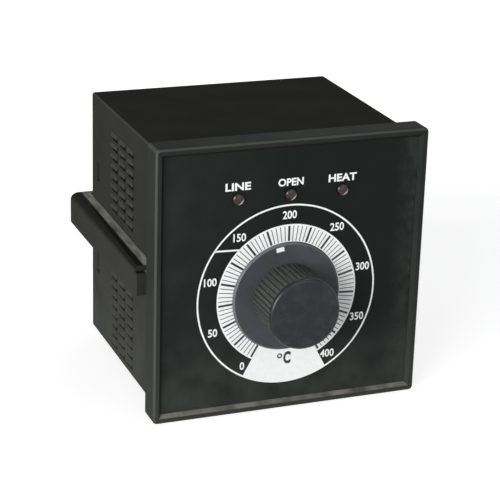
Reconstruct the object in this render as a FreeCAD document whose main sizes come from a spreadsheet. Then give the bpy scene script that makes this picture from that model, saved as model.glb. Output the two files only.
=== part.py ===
import FreeCAD, Part
import math
import os
import re
import Sketcher

# Dial-set temperature controller for a square panel cut-out, in millimetres.
# Origin: centre of the bezel's rear face, which lies on the panel.
# +Y runs back through the panel, +Z is up, +X is to the right seen from the front.

SIZES = (
    # front bezel
    ("bezel_width", 96.0), ("bezel_height", 96.0), ("bezel_depth", 9.0),
    ("bezel_corner_radius", 1.5), ("bezel_edge_round", 1.0),
    ("land_width", 2.0), ("ledge_width", 1.0), ("ledge_depth", 1.5),
    ("face_recess", 1.6), ("floor_thickness", 2.0), ("spigot_length", 5.0),
    ("spigot_wall", 2.0), ("fit_gap", 0.1), ("post_radius", 3.5),
    ("post_inset", 8.0),
    # printed film over the floor of the bezel
    ("film_thickness", 0.3), ("film_gap", 0.1), ("film_hole_radius", 8.5),
    # housing
    ("housing_width", 90.0), ("housing_height", 90.0), ("housing_depth", 73.4),
    ("housing_wall", 2.0), ("housing_corner_radius", 0.8),
    ("slot_length", 6.8), ("slot_height", 1.4), ("slot_pitch_along", 9.2),
    ("slot_pitch_up", 3.7), ("slot_columns", 3), ("slot_rows", 8),
    ("slot_first_y", 27.3), ("upper_slots_above_middle", 10.3), ("lower_slots_gap", 2.0),
    ("hood_reach", 0.6), ("hood_height", 1.4), ("hood_root", 0.2),
    ("window_rear_margin", 5.2), ("window_width", 3.8), ("window_height", 7.0),
    ("window_height_up", 17.5),
    ("rack_tooth", 0.6), ("rack_pitch", 2.0), ("rack_height", 4.0),
    ("rack_first_y", 20.0), ("rack_count", 20),
    # rear cover
    ("cover_thickness", 2.4), ("tab_length", 8.0), ("tab_thickness", 1.5),
    ("tab_height", 6.0), ("barb_reach", 0.9), ("barb_gap", 0.2),
    # terminal blocks
    ("terminal_count", 6), ("terminal_pitch", 12.0), ("block_height", 20.0),
    ("block_edge_gap", 7.0), ("block_rear", 3.0), ("barrier_reach", 4.5),
    ("barrier_thickness", 1.6), ("flange_reach", 1.5), ("flange_tab_gap", 3.1),
    ("flange_thickness", 1.6),
    ("contact_width", 8.4), ("contact_height", 14.0), ("contact_thickness", 0.8),
    ("washer_width", 7.6), ("washer_height", 7.6), ("washer_thickness", 1.0),
    ("screw_head_radius", 3.4), ("screw_head_height", 2.2),
    ("screw_shank_radius", 1.75), ("screw_shank_length", 7.0),
    ("screw_slot_width", 1.0), ("screw_slot_depth", 0.8),
    # dial, lamps and knob
    ("dial_centre_x", -1.2), ("dial_centre_z", -7.3),
    ("lamp_centre_x", -0.8), ("lamp_pitch", 18.5), ("lamp_height_up", 28.7), ("lamp_radius", 2.0),
    ("lamp_dome_reach", 1.4), ("lamp_dome_rise", 1.0), ("lamp_flange_radius", 2.6),
    ("lamp_flange_thickness", 1.0), ("lamp_gap", 0.1), ("lead_radius", 0.3),
    ("lead_spacing", 2.54), ("lead_tail", 1.0),
    ("skirt_radius", 19.2), ("skirt_thickness", 1.0), ("skirt_gap", 0.2),
    ("skirt_chamfer", 0.6), ("drum_base_radius", 12.1), ("drum_front_radius", 11.9),
    ("knob_reach", 16.0),
    ("flute_count", 42), ("flute_mouth", 2.2), ("flute_bottom", 0.4),
    ("flute_depth", 0.5),
    ("cap_radius", 12.4), ("cap_thickness", 1.6), ("cap_edge_round", 1.1),
    ("cap_spigot_radius", 10.6), ("cap_spigot_length", 1.0),
    ("well_radius", 6.6), ("well_depth", 3.0), ("web_thickness", 7.5),
    ("cavity_radius", 9.6), ("pointer_width", 2.9), ("pointer_length", 1.6),
    ("pointer_inner_radius", 16.6), ("pointer_depth", 0.2), ("pointer_angle", 9.8),
    # potentiometer behind the dial
    ("shaft_radius", 3.0), ("shaft_front_gap", 0.6), ("shaft_clearance", 0.05),
    ("shaft_tail", 8.0), ("bushing_radius", 4.5), ("bushing_length", 6.0),
    ("pot_radius", 12.0), ("pot_depth", 9.5), ("pot_nut_flats", 12.0),
    ("pot_nut_thickness", 2.4), ("pot_washer_radius", 7.0),
    ("pot_washer_thickness", 0.6), ("tag_width", 1.2), ("tag_thickness", 0.6),
    ("tag_spacing", 5.0), ("tag_drop", 9.0), ("tag_tail", 1.0),
    ("collet_radius", 4.4), ("collet_thread_radius", 3.8),
    ("collet_nut_flats", 9.0), ("collet_nut_thickness", 2.2),
    # circuit boards
    ("board_thickness", 1.6), ("board_margin", 3.0), ("post_length", 11.2),
    ("side_board_margin", 5.0), ("power_board_inset", 11.4), ("main_board_inset", 13.4),
    ("rear_board_gap", 7.0), ("board_screw_radius", 1.25),
    ("board_screw_length", 6.0), ("board_screw_head_radius", 2.6),
    ("board_screw_head_height", 1.8),
    ("header_width", 2.5), ("header_height", 24.0),
    # parts on the boards
    ("core_height", 30.0), ("core_depth", 34.0), ("core_stack", 14.0),
    ("core_leg", 9.0), ("coil_height", 20.0), ("coil_depth", 24.0),
    ("coil_width", 24.0), ("bobbin_margin", 2.0), ("bobbin_thickness", 2.0),
    ("core_centre_z", -18.0),
    ("relay_height", 16.0), ("relay_depth", 20.0), ("relay_width", 20.0),
    ("relay_rear_gap", 4.4), ("relay_centre_z", 20.0),
    ("capacitor_radius", 6.5), ("capacitor_length", 22.0),
    ("capacitor_front_gap", 5.8), ("capacitor_spacing", 16.0),
    ("capacitor_centre_z", 22.0),
    ("chip_depth", 18.0), ("chip_height", 7.6), ("chip_width", 3.4),
    ("chip_front_gap", 7.3), ("chip_centre_z", 2.0), ("chip_spacing", 16.0),
    # mounting yoke
    ("yoke_arm_thickness", 6.1), ("yoke_gap", 0.1), ("yoke_front_gap", 0.1),
    ("yoke_bridge_gap", 2.6), ("yoke_bridge_thickness", 5.0),
    ("yoke_half_height", 6.4), ("yoke_upper_taper", 1.3), ("yoke_lower_taper", 1.9),
    ("yoke_shoulder_radius", 3.6),
    ("yoke_lower_round", 0.8), ("foot_ledge", 2.4), ("foot_height_up", 3.3),
    ("channel_depth", 1.1), ("channel_half_height", 2.5), ("channel_end_margin", 10.0),
)

doc = FreeCAD.newDocument("temperature_controller")
sheet = doc.addObject("Spreadsheet::Sheet", "sizes")
for row, (alias, number) in enumerate(SIZES, start=1):
    sheet.set("A%d" % row, alias)
    sheet.set("B%d" % row, str(number))
    sheet.setAlias("B%d" % row, alias)
doc.recompute()

ALIASES = set(alias for alias, number in SIZES)
SIDES = (("left", -1), ("right", 1))
NODES = []


def formula(text):
    """Turn bare size names into references to the sheet."""
    def refer(word):
        return "sizes." + word.group(0) if word.group(0) in ALIASES else word.group(0)
    return re.sub(r"[a-z_]+", refer, text)


def size(alias):
    return float(getattr(sheet, alias))


def keep(item, label):
    """List a finished piece under its node name."""
    item.Label = label
    NODES.append(item)
    return item


# ---- sketches -------------------------------------------------------------

def new_body(name):
    return doc.addObject("PartDesign::Body", name)


def new_sketch(body, name, role, offset="0"):
    """Sketch on one of the body's own base planes, moved along its normal."""
    sketch = body.newObject("Sketcher::SketchObject", name)
    plane = [item for item in body.Origin.OriginFeatures if item.Role == role][0]
    sketch.AttachmentSupport = [(plane, "")]
    sketch.MapMode = "FlatFace"
    sketch.setExpression("AttachmentOffset.Base.z", formula(offset))
    return sketch


def place_point(sketch, item, point, across, up):
    """Hold a point of the sketch at two distances from its origin."""
    for kind, axis, text in (("DistanceX", -2, across), ("DistanceY", -1, up)):
        if text == "0":
            sketch.addConstraint(Sketcher.Constraint("PointOnObject", item, point, axis))
            continue
        index = sketch.addConstraint(Sketcher.Constraint(kind, -1, 1, item, point, 1.0))
        sketch.setExpression("Constraints[%d]" % index, formula(text))


def draw_outline(sketch, corners):
    """Closed outline of straight lines through the given corners."""
    first = sketch.GeometryCount
    count = len(corners)
    turn = 2 * math.pi / count
    ring = [FreeCAD.Vector(9 * math.cos(turn * step), 9 * math.sin(turn * step), 0)
            for step in range(count)]
    for step in range(count):
        sketch.addGeometry(Part.LineSegment(ring[step], ring[(step + 1) % count]), False)
    for step in range(count):
        following = first + (step + 1) % count
        sketch.addConstraint(
            Sketcher.Constraint("Coincident", first + step, 2, following, 1))
    for step, (across, up) in enumerate(corners):
        place_point(sketch, first + step, 1, across, up)


def draw_box(sketch, left, right, low, high):
    """Upright rectangle between four distances."""
    draw_outline(sketch, ((left, low), (right, low), (right, high), (left, high)))


def draw_circle(sketch, across, up, radius):
    item = sketch.addGeometry(
        Part.Circle(FreeCAD.Vector(1, 1, 0), FreeCAD.Vector(0, 0, 1), 1.0), False)
    place_point(sketch, item, 3, across, up)
    index = sketch.addConstraint(Sketcher.Constraint("Radius", item, 1.0))
    sketch.setExpression("Constraints[%d]" % index, formula(radius))


# ---- features -------------------------------------------------------------

def extrude(body, kind, name, sketch, length, back=False, middle=False):
    """Pad or pocket a sketch by a length; back turns it round."""
    feature = body.newObject("PartDesign::" + kind, name)
    feature.Profile = sketch
    feature.setExpression("Length", formula(length))
    feature.Reversed = back
    if middle:
        feature.SideType = "Symmetric"
    sketch.Visibility = False
    return feature


def repeat_along(body, name, originals, axis, spacing, count, back=False):
    """Straight row of features along one of the body's own axes."""
    pattern = body.newObject("PartDesign::LinearPattern", name)
    pattern.Originals = list(originals)
    pattern.Direction = (axis_of(body, axis), [""])
    pattern.Reversed = back
    pattern.setExpression("Length", formula("(%s) * ((%s) - 1)" % (spacing, count)))
    pattern.setExpression("Occurrences", formula(count))
    body.Tip = pattern
    return pattern


def axis_of(body, role):
    return [item for item in body.Origin.OriginFeatures if item.Role == role][0]


def edges_where(feature, wanted):
    """Names of the edges of a feature whose bounds pass a test."""
    doc.recompute()
    names = []
    for index, edge in enumerate(feature.Shape.Edges, start=1):
        if wanted(edge.BoundBox):
            names.append("Edge%d" % index)
    if not names:
        raise RuntimeError("no edge found on " + feature.Name)
    return names


def round_edges(body, name, feature, radius, wanted):
    fillet = body.newObject("PartDesign::Fillet", name)
    fillet.Base = (feature, edges_where(feature, wanted))
    fillet.setExpression("Radius", formula(radius))
    return fillet


def near(first, second):
    return abs(first - second) < 0.001


def flat_at(bounds, axis, place):
    """True where an edge lies in the plane at one distance along an axis."""
    low = getattr(bounds, axis + "Min")
    high = getattr(bounds, axis + "Max")
    return near(low, place) and near(high, place)


# ---- plain solids ---------------------------------------------------------

def block(name, x_from, x_to, y_from, y_to, z_from, z_to):
    """Box between two distances on each axis."""
    solid = doc.addObject("Part::Box", name)
    for side, axis, low, high in (("Length", "x", x_from, x_to),
                                  ("Width", "y", y_from, y_to),
                                  ("Height", "z", z_from, z_to)):
        solid.setExpression(side, formula("(%s) - (%s)" % (high, low)))
        solid.setExpression("Placement.Base." + axis, formula(low))
    return solid


def rod(name, axis, radius, start, end, across, up):
    """Round bar along x or y; across and up place its centre line."""
    solid = doc.addObject("Part::Cylinder", name)
    solid.setExpression("Radius", formula(radius))
    solid.setExpression("Height", formula("(%s) - (%s)" % (end, start)))
    if axis == "y":
        solid.Placement.Rotation = FreeCAD.Rotation(FreeCAD.Vector(1, 0, 0), -90)
        places = (across, start, up)
    else:
        solid.Placement.Rotation = FreeCAD.Rotation(FreeCAD.Vector(0, 1, 0), 90)
        places = (start, across, up)
    for letter, text in zip("xyz", places):
        solid.setExpression("Placement.Base." + letter, formula(text))
    return solid


def hex_bar(name, flats, start, end, across, up):
    """Six-sided bar along y, flats apart."""
    solid = doc.addObject("Part::Prism", name)
    solid.Polygon = 6
    solid.setExpression("Circumradius", formula("(%s) / sqrt(3)" % flats))
    solid.setExpression("Height", formula("(%s) - (%s)" % (end, start)))
    solid.Placement.Rotation = FreeCAD.Rotation(FreeCAD.Vector(1, 0, 0), -90)
    for letter, text in zip("xyz", (across, start, up)):
        solid.setExpression("Placement.Base." + letter, formula(text))
    return solid


def join(name, solids):
    whole = doc.addObject("Part::MultiFuse", name)
    whole.Shapes = list(solids)
    return whole


def cut(name, base, tools):
    """Base less one tool, or less all of several."""
    tools = list(tools)
    result = doc.addObject("Part::Cut", name)
    result.Base = base
    result.Tool = tools[0] if len(tools) == 1 else join(name + "_tools", tools)
    return result


def group(name, solids):
    """Like pieces kept as one node of separate solids."""
    whole = doc.addObject("Part::Compound", name)
    whole.Links = list(solids)
    return whole


# distances that several pieces share, written once
FILM_FRONT = "-bezel_depth + face_recess"
FLOOR_FRONT = "-bezel_depth + face_recess + film_thickness"
FLOOR_REAR = "-bezel_depth + face_recess + film_thickness + floor_thickness"
BOARD_FRONT = FLOOR_REAR + " + post_length"
BOARD_REAR = BOARD_FRONT + " + board_thickness"
COVER_FRONT = "housing_depth - cover_thickness"
REAR_BOARD_REAR = COVER_FRONT + " - rear_board_gap"
REAR_BOARD_FRONT = REAR_BOARD_REAR + " - board_thickness"
INNER_HALF_WIDTH = "(housing_width / 2 - housing_wall)"
INNER_HALF_HEIGHT = "(housing_height / 2 - housing_wall)"
POST_X = "(%s - post_inset)" % INNER_HALF_WIDTH
POST_Z = "(%s - post_inset)" % INNER_HALF_HEIGHT
BOARD_X = "(%s - board_margin)" % INNER_HALF_WIDTH
BOARD_Z = "(%s - board_margin)" % INNER_HALF_HEIGHT
SIDE_BOARD_Z = "(%s - side_board_margin)" % INNER_HALF_HEIGHT
POWER_BACK = "-%s + power_board_inset" % INNER_HALF_WIDTH
POWER_FACE = POWER_BACK + " + board_thickness"
MAIN_BACK = "%s - main_board_inset" % INNER_HALF_WIDTH
MAIN_FACE = MAIN_BACK + " - board_thickness"
WINDOW_REAR = "housing_depth - window_rear_margin"
WINDOW_FRONT = WINDOW_REAR + " - window_width"
BLOCK_UP = "(%s - block_edge_gap - block_height / 2)" % INNER_HALF_HEIGHT
YOKE_REAR = "housing_depth + yoke_bridge_gap + yoke_bridge_thickness"
BRIDGE_FRONT = "housing_depth + yoke_bridge_gap"
LAMPS = (("lamp_left", "lamp_centre_x - lamp_pitch"), ("lamp_middle", "lamp_centre_x"),
         ("lamp_right", "lamp_centre_x + lamp_pitch"))
CORNERS = ((-1, -1), (1, -1), (1, 1), (-1, 1))


# ---- front bezel ----------------------------------------------------------
# One moulding: a deep square frame, a floor sunk behind a sloping ledge, four posts for
# the front circuit board and a spigot that enters the housing.

bezel = new_body("front_bezel_body")
sketch = new_sketch(bezel, "bezel_outline", "XZ_Plane")
draw_box(sketch, "-bezel_width / 2", "bezel_width / 2", "-bezel_height / 2",
         "bezel_height / 2")
frame = extrude(bezel, "Pad", "bezel_frame", sketch, "bezel_depth")
frame = round_edges(bezel, "bezel_corners", frame, "bezel_corner_radius",
                    lambda b: b.YLength > size("bezel_depth") / 2)
frame = round_edges(bezel, "bezel_front_round", frame, "bezel_edge_round",
                    lambda b: flat_at(b, "Y", -size("bezel_depth")))

opening = new_sketch(bezel, "opening_outline", "XZ_Plane", "bezel_depth")
draw_box(opening, "-(bezel_width / 2 - land_width)", "bezel_width / 2 - land_width",
         "-(bezel_height / 2 - land_width)", "bezel_height / 2 - land_width")
inner = new_sketch(bezel, "ledge_foot_outline", "XZ_Plane", "bezel_depth - ledge_depth")
LEDGE_HALF_WIDTH = "bezel_width / 2 - land_width - ledge_width"
LEDGE_HALF_HEIGHT = "bezel_height / 2 - land_width - ledge_width"
draw_box(inner, "-(%s)" % LEDGE_HALF_WIDTH, LEDGE_HALF_WIDTH,
         "-(%s)" % LEDGE_HALF_HEIGHT, LEDGE_HALF_HEIGHT)
ledge = bezel.newObject("PartDesign::SubtractiveLoft", "sloping_ledge")
ledge.Profile = opening
ledge.Sections = [inner]
sketch = new_sketch(bezel, "floor_outline", "XZ_Plane", "bezel_depth - ledge_depth")
draw_box(sketch, "-(%s)" % LEDGE_HALF_WIDTH, LEDGE_HALF_WIDTH,
         "-(%s)" % LEDGE_HALF_HEIGHT, LEDGE_HALF_HEIGHT)
extrude(bezel, "Pocket", "sunk_floor", sketch,
        "face_recess + film_thickness - ledge_depth")

SPIGOT_HALF_WIDTH = INNER_HALF_WIDTH + " - fit_gap"
SPIGOT_HALF_HEIGHT = INNER_HALF_HEIGHT + " - fit_gap"
HOLLOW_HALF_WIDTH = SPIGOT_HALF_WIDTH + " - spigot_wall"
HOLLOW_HALF_HEIGHT = SPIGOT_HALF_HEIGHT + " - spigot_wall"
sketch = new_sketch(bezel, "spigot_outline", "XZ_Plane")
draw_box(sketch, "-(%s)" % SPIGOT_HALF_WIDTH, SPIGOT_HALF_WIDTH,
         "-(%s)" % SPIGOT_HALF_HEIGHT, SPIGOT_HALF_HEIGHT)
extrude(bezel, "Pad", "spigot", sketch, "spigot_length", back=True)
sketch = new_sketch(bezel, "hollow_outline", "XZ_Plane", "-spigot_length")
draw_box(sketch, "-(%s)" % HOLLOW_HALF_WIDTH, HOLLOW_HALF_WIDTH,
         "-(%s)" % HOLLOW_HALF_HEIGHT, HOLLOW_HALF_HEIGHT)
extrude(bezel, "Pocket", "rear_hollow", sketch,
        "spigot_length - (%s)" % FLOOR_REAR, back=True)
sketch = new_sketch(bezel, "post_outlines", "XZ_Plane", "-(%s)" % FLOOR_REAR)
for across, up in CORNERS:
    draw_circle(sketch, "%d * %s" % (across, POST_X), "%d * %s" % (up, POST_Z),
                "post_radius")
extrude(bezel, "Pad", "board_posts", sketch, "post_length", back=True)
sketch = new_sketch(bezel, "post_hole_outlines", "XZ_Plane", "-(%s)" % BOARD_FRONT)
for across, up in CORNERS:
    draw_circle(sketch, "%d * %s" % (across, POST_X), "%d * %s" % (up, POST_Z),
                "board_screw_radius")
extrude(bezel, "Pocket", "post_holes", sketch,
        "board_screw_length - board_thickness + 1", back=True)
sketch = new_sketch(bezel, "front_hole_outlines", "XZ_Plane", "-(%s)" % FLOOR_FRONT)
draw_circle(sketch, "dial_centre_x", "dial_centre_z", "bushing_radius")
for lamp, across in LAMPS:
    draw_circle(sketch, across, "lamp_height_up", "lamp_radius + lamp_gap")
extrude(bezel, "Pocket", "front_holes", sketch, "floor_thickness")
keep(bezel, "front_bezel")

# ---- printed film ---------------------------------------------------------

sheet_blank = block("film_blank", "-(%s - film_gap)" % LEDGE_HALF_WIDTH,
                    "%s - film_gap" % LEDGE_HALF_WIDTH, FILM_FRONT, FLOOR_FRONT,
                    "-(%s - film_gap)" % LEDGE_HALF_HEIGHT,
                    "%s - film_gap" % LEDGE_HALF_HEIGHT)
holes = [rod("film_dial_hole", "y", "film_hole_radius", FILM_FRONT + " - 1",
             FLOOR_FRONT + " + 1", "dial_centre_x", "dial_centre_z")]
for lamp, across in LAMPS:
    holes.append(rod("film_hole_" + lamp, "y", "lamp_radius + lamp_gap",
                     FILM_FRONT + " - 1", FLOOR_FRONT + " + 1", across,
                     "lamp_height_up"))
keep(cut("face_film_cut", sheet_blank, holes), "face_film")

# ---- housing --------------------------------------------------------------
# Square tube with two fields of hooded cooling slots and two latch windows in each side.

housing = new_body("housing_body")
sketch = new_sketch(housing, "housing_outline", "XZ_Plane")
draw_box(sketch, "-housing_width / 2", "housing_width / 2", "-housing_height / 2",
         "housing_height / 2")
tube = extrude(housing, "Pad", "housing_block", sketch, "housing_depth", back=True)
tube = round_edges(housing, "housing_corners", tube, "housing_corner_radius",
                   lambda b: b.YLength > size("housing_depth") / 2)
sketch = new_sketch(housing, "housing_hollow_outline", "XZ_Plane")
draw_box(sketch, "-" + INNER_HALF_WIDTH, INNER_HALF_WIDTH, "-" + INNER_HALF_HEIGHT,
         INNER_HALF_HEIGHT)
extrude(housing, "Pocket", "housing_hollow", sketch, "housing_depth")
LOWEST_SLOTS = (("upper", "upper_slots_above_middle"),
                ("lower", "(lower_slots_gap - %s)" % INNER_HALF_HEIGHT))
for field, top in LOWEST_SLOTS:
    sketch = new_sketch(housing, field + "_slot_outline", "YZ_Plane")
    draw_box(sketch, "slot_first_y - slot_length / 2", "slot_first_y + slot_length / 2",
             top + " - slot_height", top)
    slot = extrude(housing, "Pocket", field + "_slot", sketch, "housing_width + 2",
                   middle=True)
    sketch = new_sketch(housing, field + "_hood_outline", "XZ_Plane",
                        "slot_length / 2 - slot_first_y")
    for sign in ("1", "-1"):
        root = sign + " * (housing_width / 2 - hood_root)"
        draw_outline(sketch, ((root, top), (root, top + " + hood_height"),
                              (sign + " * (housing_width / 2 + hood_reach)", top)))
    hood = extrude(housing, "Pad", field + "_hoods", sketch, "slot_length", back=True)
    pattern = repeat_along(housing, field + "_slots", (slot, hood), "Y_Axis",
                           "slot_pitch_along", "slot_columns")
    pattern.Direction2 = (axis_of(housing, "Z_Axis"), [""])
    pattern.setExpression("Length2", formula("slot_pitch_up * (slot_rows - 1)"))
    pattern.setExpression("Occurrences2", formula("slot_rows"))
sketch = new_sketch(housing, "window_outlines", "YZ_Plane")
for sign in ("1", "-1"):
    draw_box(sketch, WINDOW_FRONT, WINDOW_REAR,
             sign + " * window_height_up - window_height / 2",
             sign + " * window_height_up + window_height / 2")
extrude(housing, "Pocket", "latch_windows", sketch, "housing_width + 2", middle=True)
# each tooth rises slowly to the rear and drops steeply just before the next one
TOOTH_ROOT = "(housing_width / 2 - 0.2)"
TOOTH_TIP = "(housing_width / 2 + rack_tooth)"
TIP_Y = "rack_first_y + rack_pitch * 0.8"
TOOTH_REAR = "rack_first_y + rack_pitch * 0.9"
sketch = new_sketch(housing, "rack_outline", "XY_Plane")
for sign in ("1 * ", "-1 * "):
    draw_outline(sketch, ((sign + TOOTH_ROOT, "rack_first_y"),
                          (sign + TOOTH_ROOT, TOOTH_REAR), (sign + TOOTH_TIP, TIP_Y)))
tooth = extrude(housing, "Pad", "rack_tooth_pair", sketch, "rack_height", middle=True)
rack = repeat_along(housing, "rack", (tooth,), "Y_Axis", "rack_pitch", "rack_count")
keep(housing, "housing")

# ---- rear cover -----------------------------------------------------------
# Plate held in the end of the housing by four sprung tabs with barbs in the windows.

BLOCK_HALF_WIDTH = "(terminal_count * terminal_pitch + barrier_thickness) / 2"
plate = block("cover_plate", "-(%s)" % SPIGOT_HALF_WIDTH, SPIGOT_HALF_WIDTH,
              COVER_FRONT, "housing_depth", "-(%s)" % SPIGOT_HALF_HEIGHT,
              SPIGOT_HALF_HEIGHT)
solids = [plate]
for side, across in SIDES:
    for level, up in (("upper", 1), ("lower", -1)):
        tag = "cover_%s_%s" % (side, level)
        middle_z = "%d * window_height_up" % up
        edge = "(%s)" % SPIGOT_HALF_WIDTH
        inner_face = "(%s - tab_thickness)" % edge
        reach = "(%s + barb_reach)" % edge
        faces = (inner_face, edge) if across > 0 else ("-" + edge, "-" + inner_face)
        solids.append(block(tag + "_tab", faces[0], faces[1],
                            COVER_FRONT + " - tab_length", COVER_FRONT,
                            middle_z + " - tab_height / 2",
                            middle_z + " + tab_height / 2"))
        faces = (inner_face, reach) if across > 0 else ("-" + reach, "-" + inner_face)
        solids.append(block(tag + "_barb", faces[0], faces[1],
                            WINDOW_FRONT + " + barb_gap", WINDOW_REAR + " - barb_gap",
                            middle_z + " - tab_height / 2",
                            middle_z + " + tab_height / 2"))
cover = join("cover_solid", solids)
openings = []
for level, up in (("upper", 1), ("lower", -1)):
    middle_z = "%d * %s" % (up, BLOCK_UP)
    openings.append(block("cover_%s_opening" % level, "-(%s)" % BLOCK_HALF_WIDTH,
                          BLOCK_HALF_WIDTH, COVER_FRONT + " - 1", "housing_depth + 1",
                          middle_z + " - block_height / 2",
                          middle_z + " + block_height / 2"))
keep(cut("rear_cover_cut", cover, openings), "rear_cover")

# ---- terminal blocks, contacts, clamp washers and screws ------------------

BLOCK_FACE = "housing_depth + block_rear"
FLANGE_HALF_WIDTH = SPIGOT_HALF_WIDTH + " - tab_thickness - flange_tab_gap"
contacts = []
washers = []
screws = []
for level, up in (("upper", 1), ("lower", -1)):
    middle_z = "%d * %s" % (up, BLOCK_UP)
    tag = level + "_block"
    solids = [
        block(tag + "_base", "-(%s)" % BLOCK_HALF_WIDTH, BLOCK_HALF_WIDTH,
              REAR_BOARD_REAR, BLOCK_FACE, middle_z + " - block_height / 2",
              middle_z + " + block_height / 2"),
        block(tag + "_flange", "-(%s)" % FLANGE_HALF_WIDTH, FLANGE_HALF_WIDTH,
              COVER_FRONT + " - flange_thickness", COVER_FRONT,
              middle_z + " - block_height / 2 - flange_reach",
              middle_z + " + block_height / 2 + flange_reach")]
    for step in range(int(size("terminal_count")) + 1):
        middle_x = "(%d - terminal_count / 2) * terminal_pitch" % step
        solids.append(block("%s_barrier_%d" % (tag, step),
                            middle_x + " - barrier_thickness / 2",
                            middle_x + " + barrier_thickness / 2",
                            BLOCK_FACE + " - 0.5", BLOCK_FACE + " + barrier_reach",
                            middle_z + " - block_height / 2",
                            middle_z + " + block_height / 2"))
    holes = []
    for step in range(int(size("terminal_count"))):
        middle_x = "(%d + 0.5 - terminal_count / 2) * terminal_pitch" % step
        name = "%s_%d" % (level, step)
        contact_face = BLOCK_FACE + " + contact_thickness"
        washer_face = contact_face + " + washer_thickness"
        head_face = washer_face + " + screw_head_height"
        shank_end = washer_face + " - screw_shank_length"
        holes.append(rod(name + "_hole", "y", "screw_shank_radius", shank_end,
                         BLOCK_FACE + " + 1", middle_x, middle_z))
        contacts.append(cut(name + "_contact", block(
            name + "_contact_blank", middle_x + " - contact_width / 2",
            middle_x + " + contact_width / 2", BLOCK_FACE, contact_face,
            middle_z + " - contact_height / 2", middle_z + " + contact_height / 2"),
            [rod(name + "_contact_hole", "y", "screw_shank_radius",
                 BLOCK_FACE + " - 1", washer_face, middle_x, middle_z)]))
        washers.append(cut(name + "_washer", block(
            name + "_washer_blank", middle_x + " - washer_width / 2",
            middle_x + " + washer_width / 2", contact_face, washer_face,
            middle_z + " - washer_height / 2", middle_z + " + washer_height / 2"),
            [rod(name + "_washer_hole", "y", "screw_shank_radius",
                 BLOCK_FACE, head_face, middle_x, middle_z)]))
        solid = join(name + "_screw_solid", [
            rod(name + "_screw_head", "y", "screw_head_radius", washer_face, head_face,
                middle_x, middle_z),
            rod(name + "_screw_shank", "y", "screw_shank_radius", shank_end, washer_face,
                middle_x, middle_z)])
        screws.append(cut(name + "_screw", solid, [
            block(name + "_screw_slot", middle_x + " - screw_head_radius - 1",
                  middle_x + " + screw_head_radius + 1",
                  head_face + " - screw_slot_depth", head_face + " + 1",
                  middle_z + " - screw_slot_width / 2",
                  middle_z + " + screw_slot_width / 2")]))
    keep(cut(tag + "_cut", join(tag + "_solid", solids), holes),
         "terminal_block_" + level)
keep(group("contact_group", contacts), "terminal_contacts")
keep(group("washer_group", washers), "terminal_washers")
keep(group("screw_group", screws), "terminal_screws")

# ---- circuit boards -------------------------------------------------------

front_blank = block("front_board_blank", "-" + BOARD_X, BOARD_X, BOARD_FRONT, BOARD_REAR,
                    "-" + BOARD_Z, BOARD_Z)
holes = []
board_screws = []
for step, (across, up) in enumerate(CORNERS):
    middle_x = "%d * %s" % (across, POST_X)
    middle_z = "%d * %s" % (up, POST_Z)
    holes.append(rod("board_hole_%d" % step, "y", "board_screw_radius",
                     BOARD_FRONT + " - 1", BOARD_REAR + " + 1", middle_x, middle_z))
    board_screws.append(join("board_screw_%d" % step, [
        rod("board_screw_shank_%d" % step, "y", "board_screw_radius",
            BOARD_REAR + " - board_screw_length", BOARD_REAR, middle_x, middle_z),
        rod("board_screw_head_%d" % step, "y", "board_screw_head_radius", BOARD_REAR,
            BOARD_REAR + " + board_screw_head_height", middle_x, middle_z)]))
leads = []
for lamp, across in LAMPS:
    for sign in ("-", "+"):
        middle_x = "%s %s lead_spacing / 2" % (across, sign)
        name = "%s_lead_%s" % (lamp, "first" if sign == "-" else "second")
        leads.append(rod(name, "y", "lead_radius", FLOOR_REAR + " + lamp_flange_thickness",
                         BOARD_REAR + " + lead_tail", middle_x, "lamp_height_up"))
        holes.append(rod(name + "_hole", "y", "lead_radius", BOARD_FRONT + " - 1",
                         BOARD_REAR + " + 1", middle_x, "lamp_height_up"))
tags = []
for step in (-1, 0, 1):
    middle_x = "dial_centre_x + %d * tag_spacing" % step
    middle_z = "dial_centre_z - tag_drop"
    name = "pot_tag_%d" % (step + 1)
    ends = (middle_x + " - tag_width / 2", middle_x + " + tag_width / 2")
    levels = (middle_z + " - tag_thickness / 2", middle_z + " + tag_thickness / 2")
    tags.append(block(name, ends[0], ends[1], FLOOR_REAR + " + pot_depth",
                      BOARD_REAR + " + tag_tail", levels[0], levels[1]))
    holes.append(block(name + "_hole", ends[0], ends[1], BOARD_FRONT + " - 1",
                       BOARD_REAR + " + 1", levels[0], levels[1]))
keep(cut("front_board_cut", front_blank, holes), "front_board")
keep(group("board_screw_group", board_screws), "board_screws")
keep(group("lead_group", leads), "lamp_leads")
keep(group("tag_group", tags), "pot_tags")

keep(block("power_board_blank", POWER_BACK, POWER_FACE, BOARD_REAR, REAR_BOARD_FRONT,
           "-" + SIDE_BOARD_Z, SIDE_BOARD_Z), "power_board")
keep(block("main_board_blank", MAIN_FACE, MAIN_BACK, BOARD_REAR, REAR_BOARD_FRONT,
           "-" + SIDE_BOARD_Z, SIDE_BOARD_Z), "main_board")
keep(block("rear_board_blank", "-" + BOARD_X, BOARD_X, REAR_BOARD_FRONT,
           REAR_BOARD_REAR, "-" + BOARD_Z, BOARD_Z), "rear_board")
headers = []
for board, face, sign in (("power", POWER_FACE, 1), ("main", MAIN_FACE, -1)):
    reach = "%s + %d * header_width" % (face, sign)
    span = (face, reach) if sign > 0 else (reach, face)
    headers.append(block(board + "_front_header", span[0], span[1], BOARD_REAR,
                         BOARD_REAR + " + header_width", "-header_height / 2",
                         "header_height / 2"))
    headers.append(block(board + "_rear_header", span[0], span[1],
                         REAR_BOARD_FRONT + " - header_width", REAR_BOARD_FRONT,
                         "-header_height / 2", "header_height / 2"))
keep(group("header_group", headers), "board_headers")

# ---- parts on the boards --------------------------------------------------
# The transformer stands on the power board: a laminated core with two windows round
# a wound bobbin.


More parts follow.
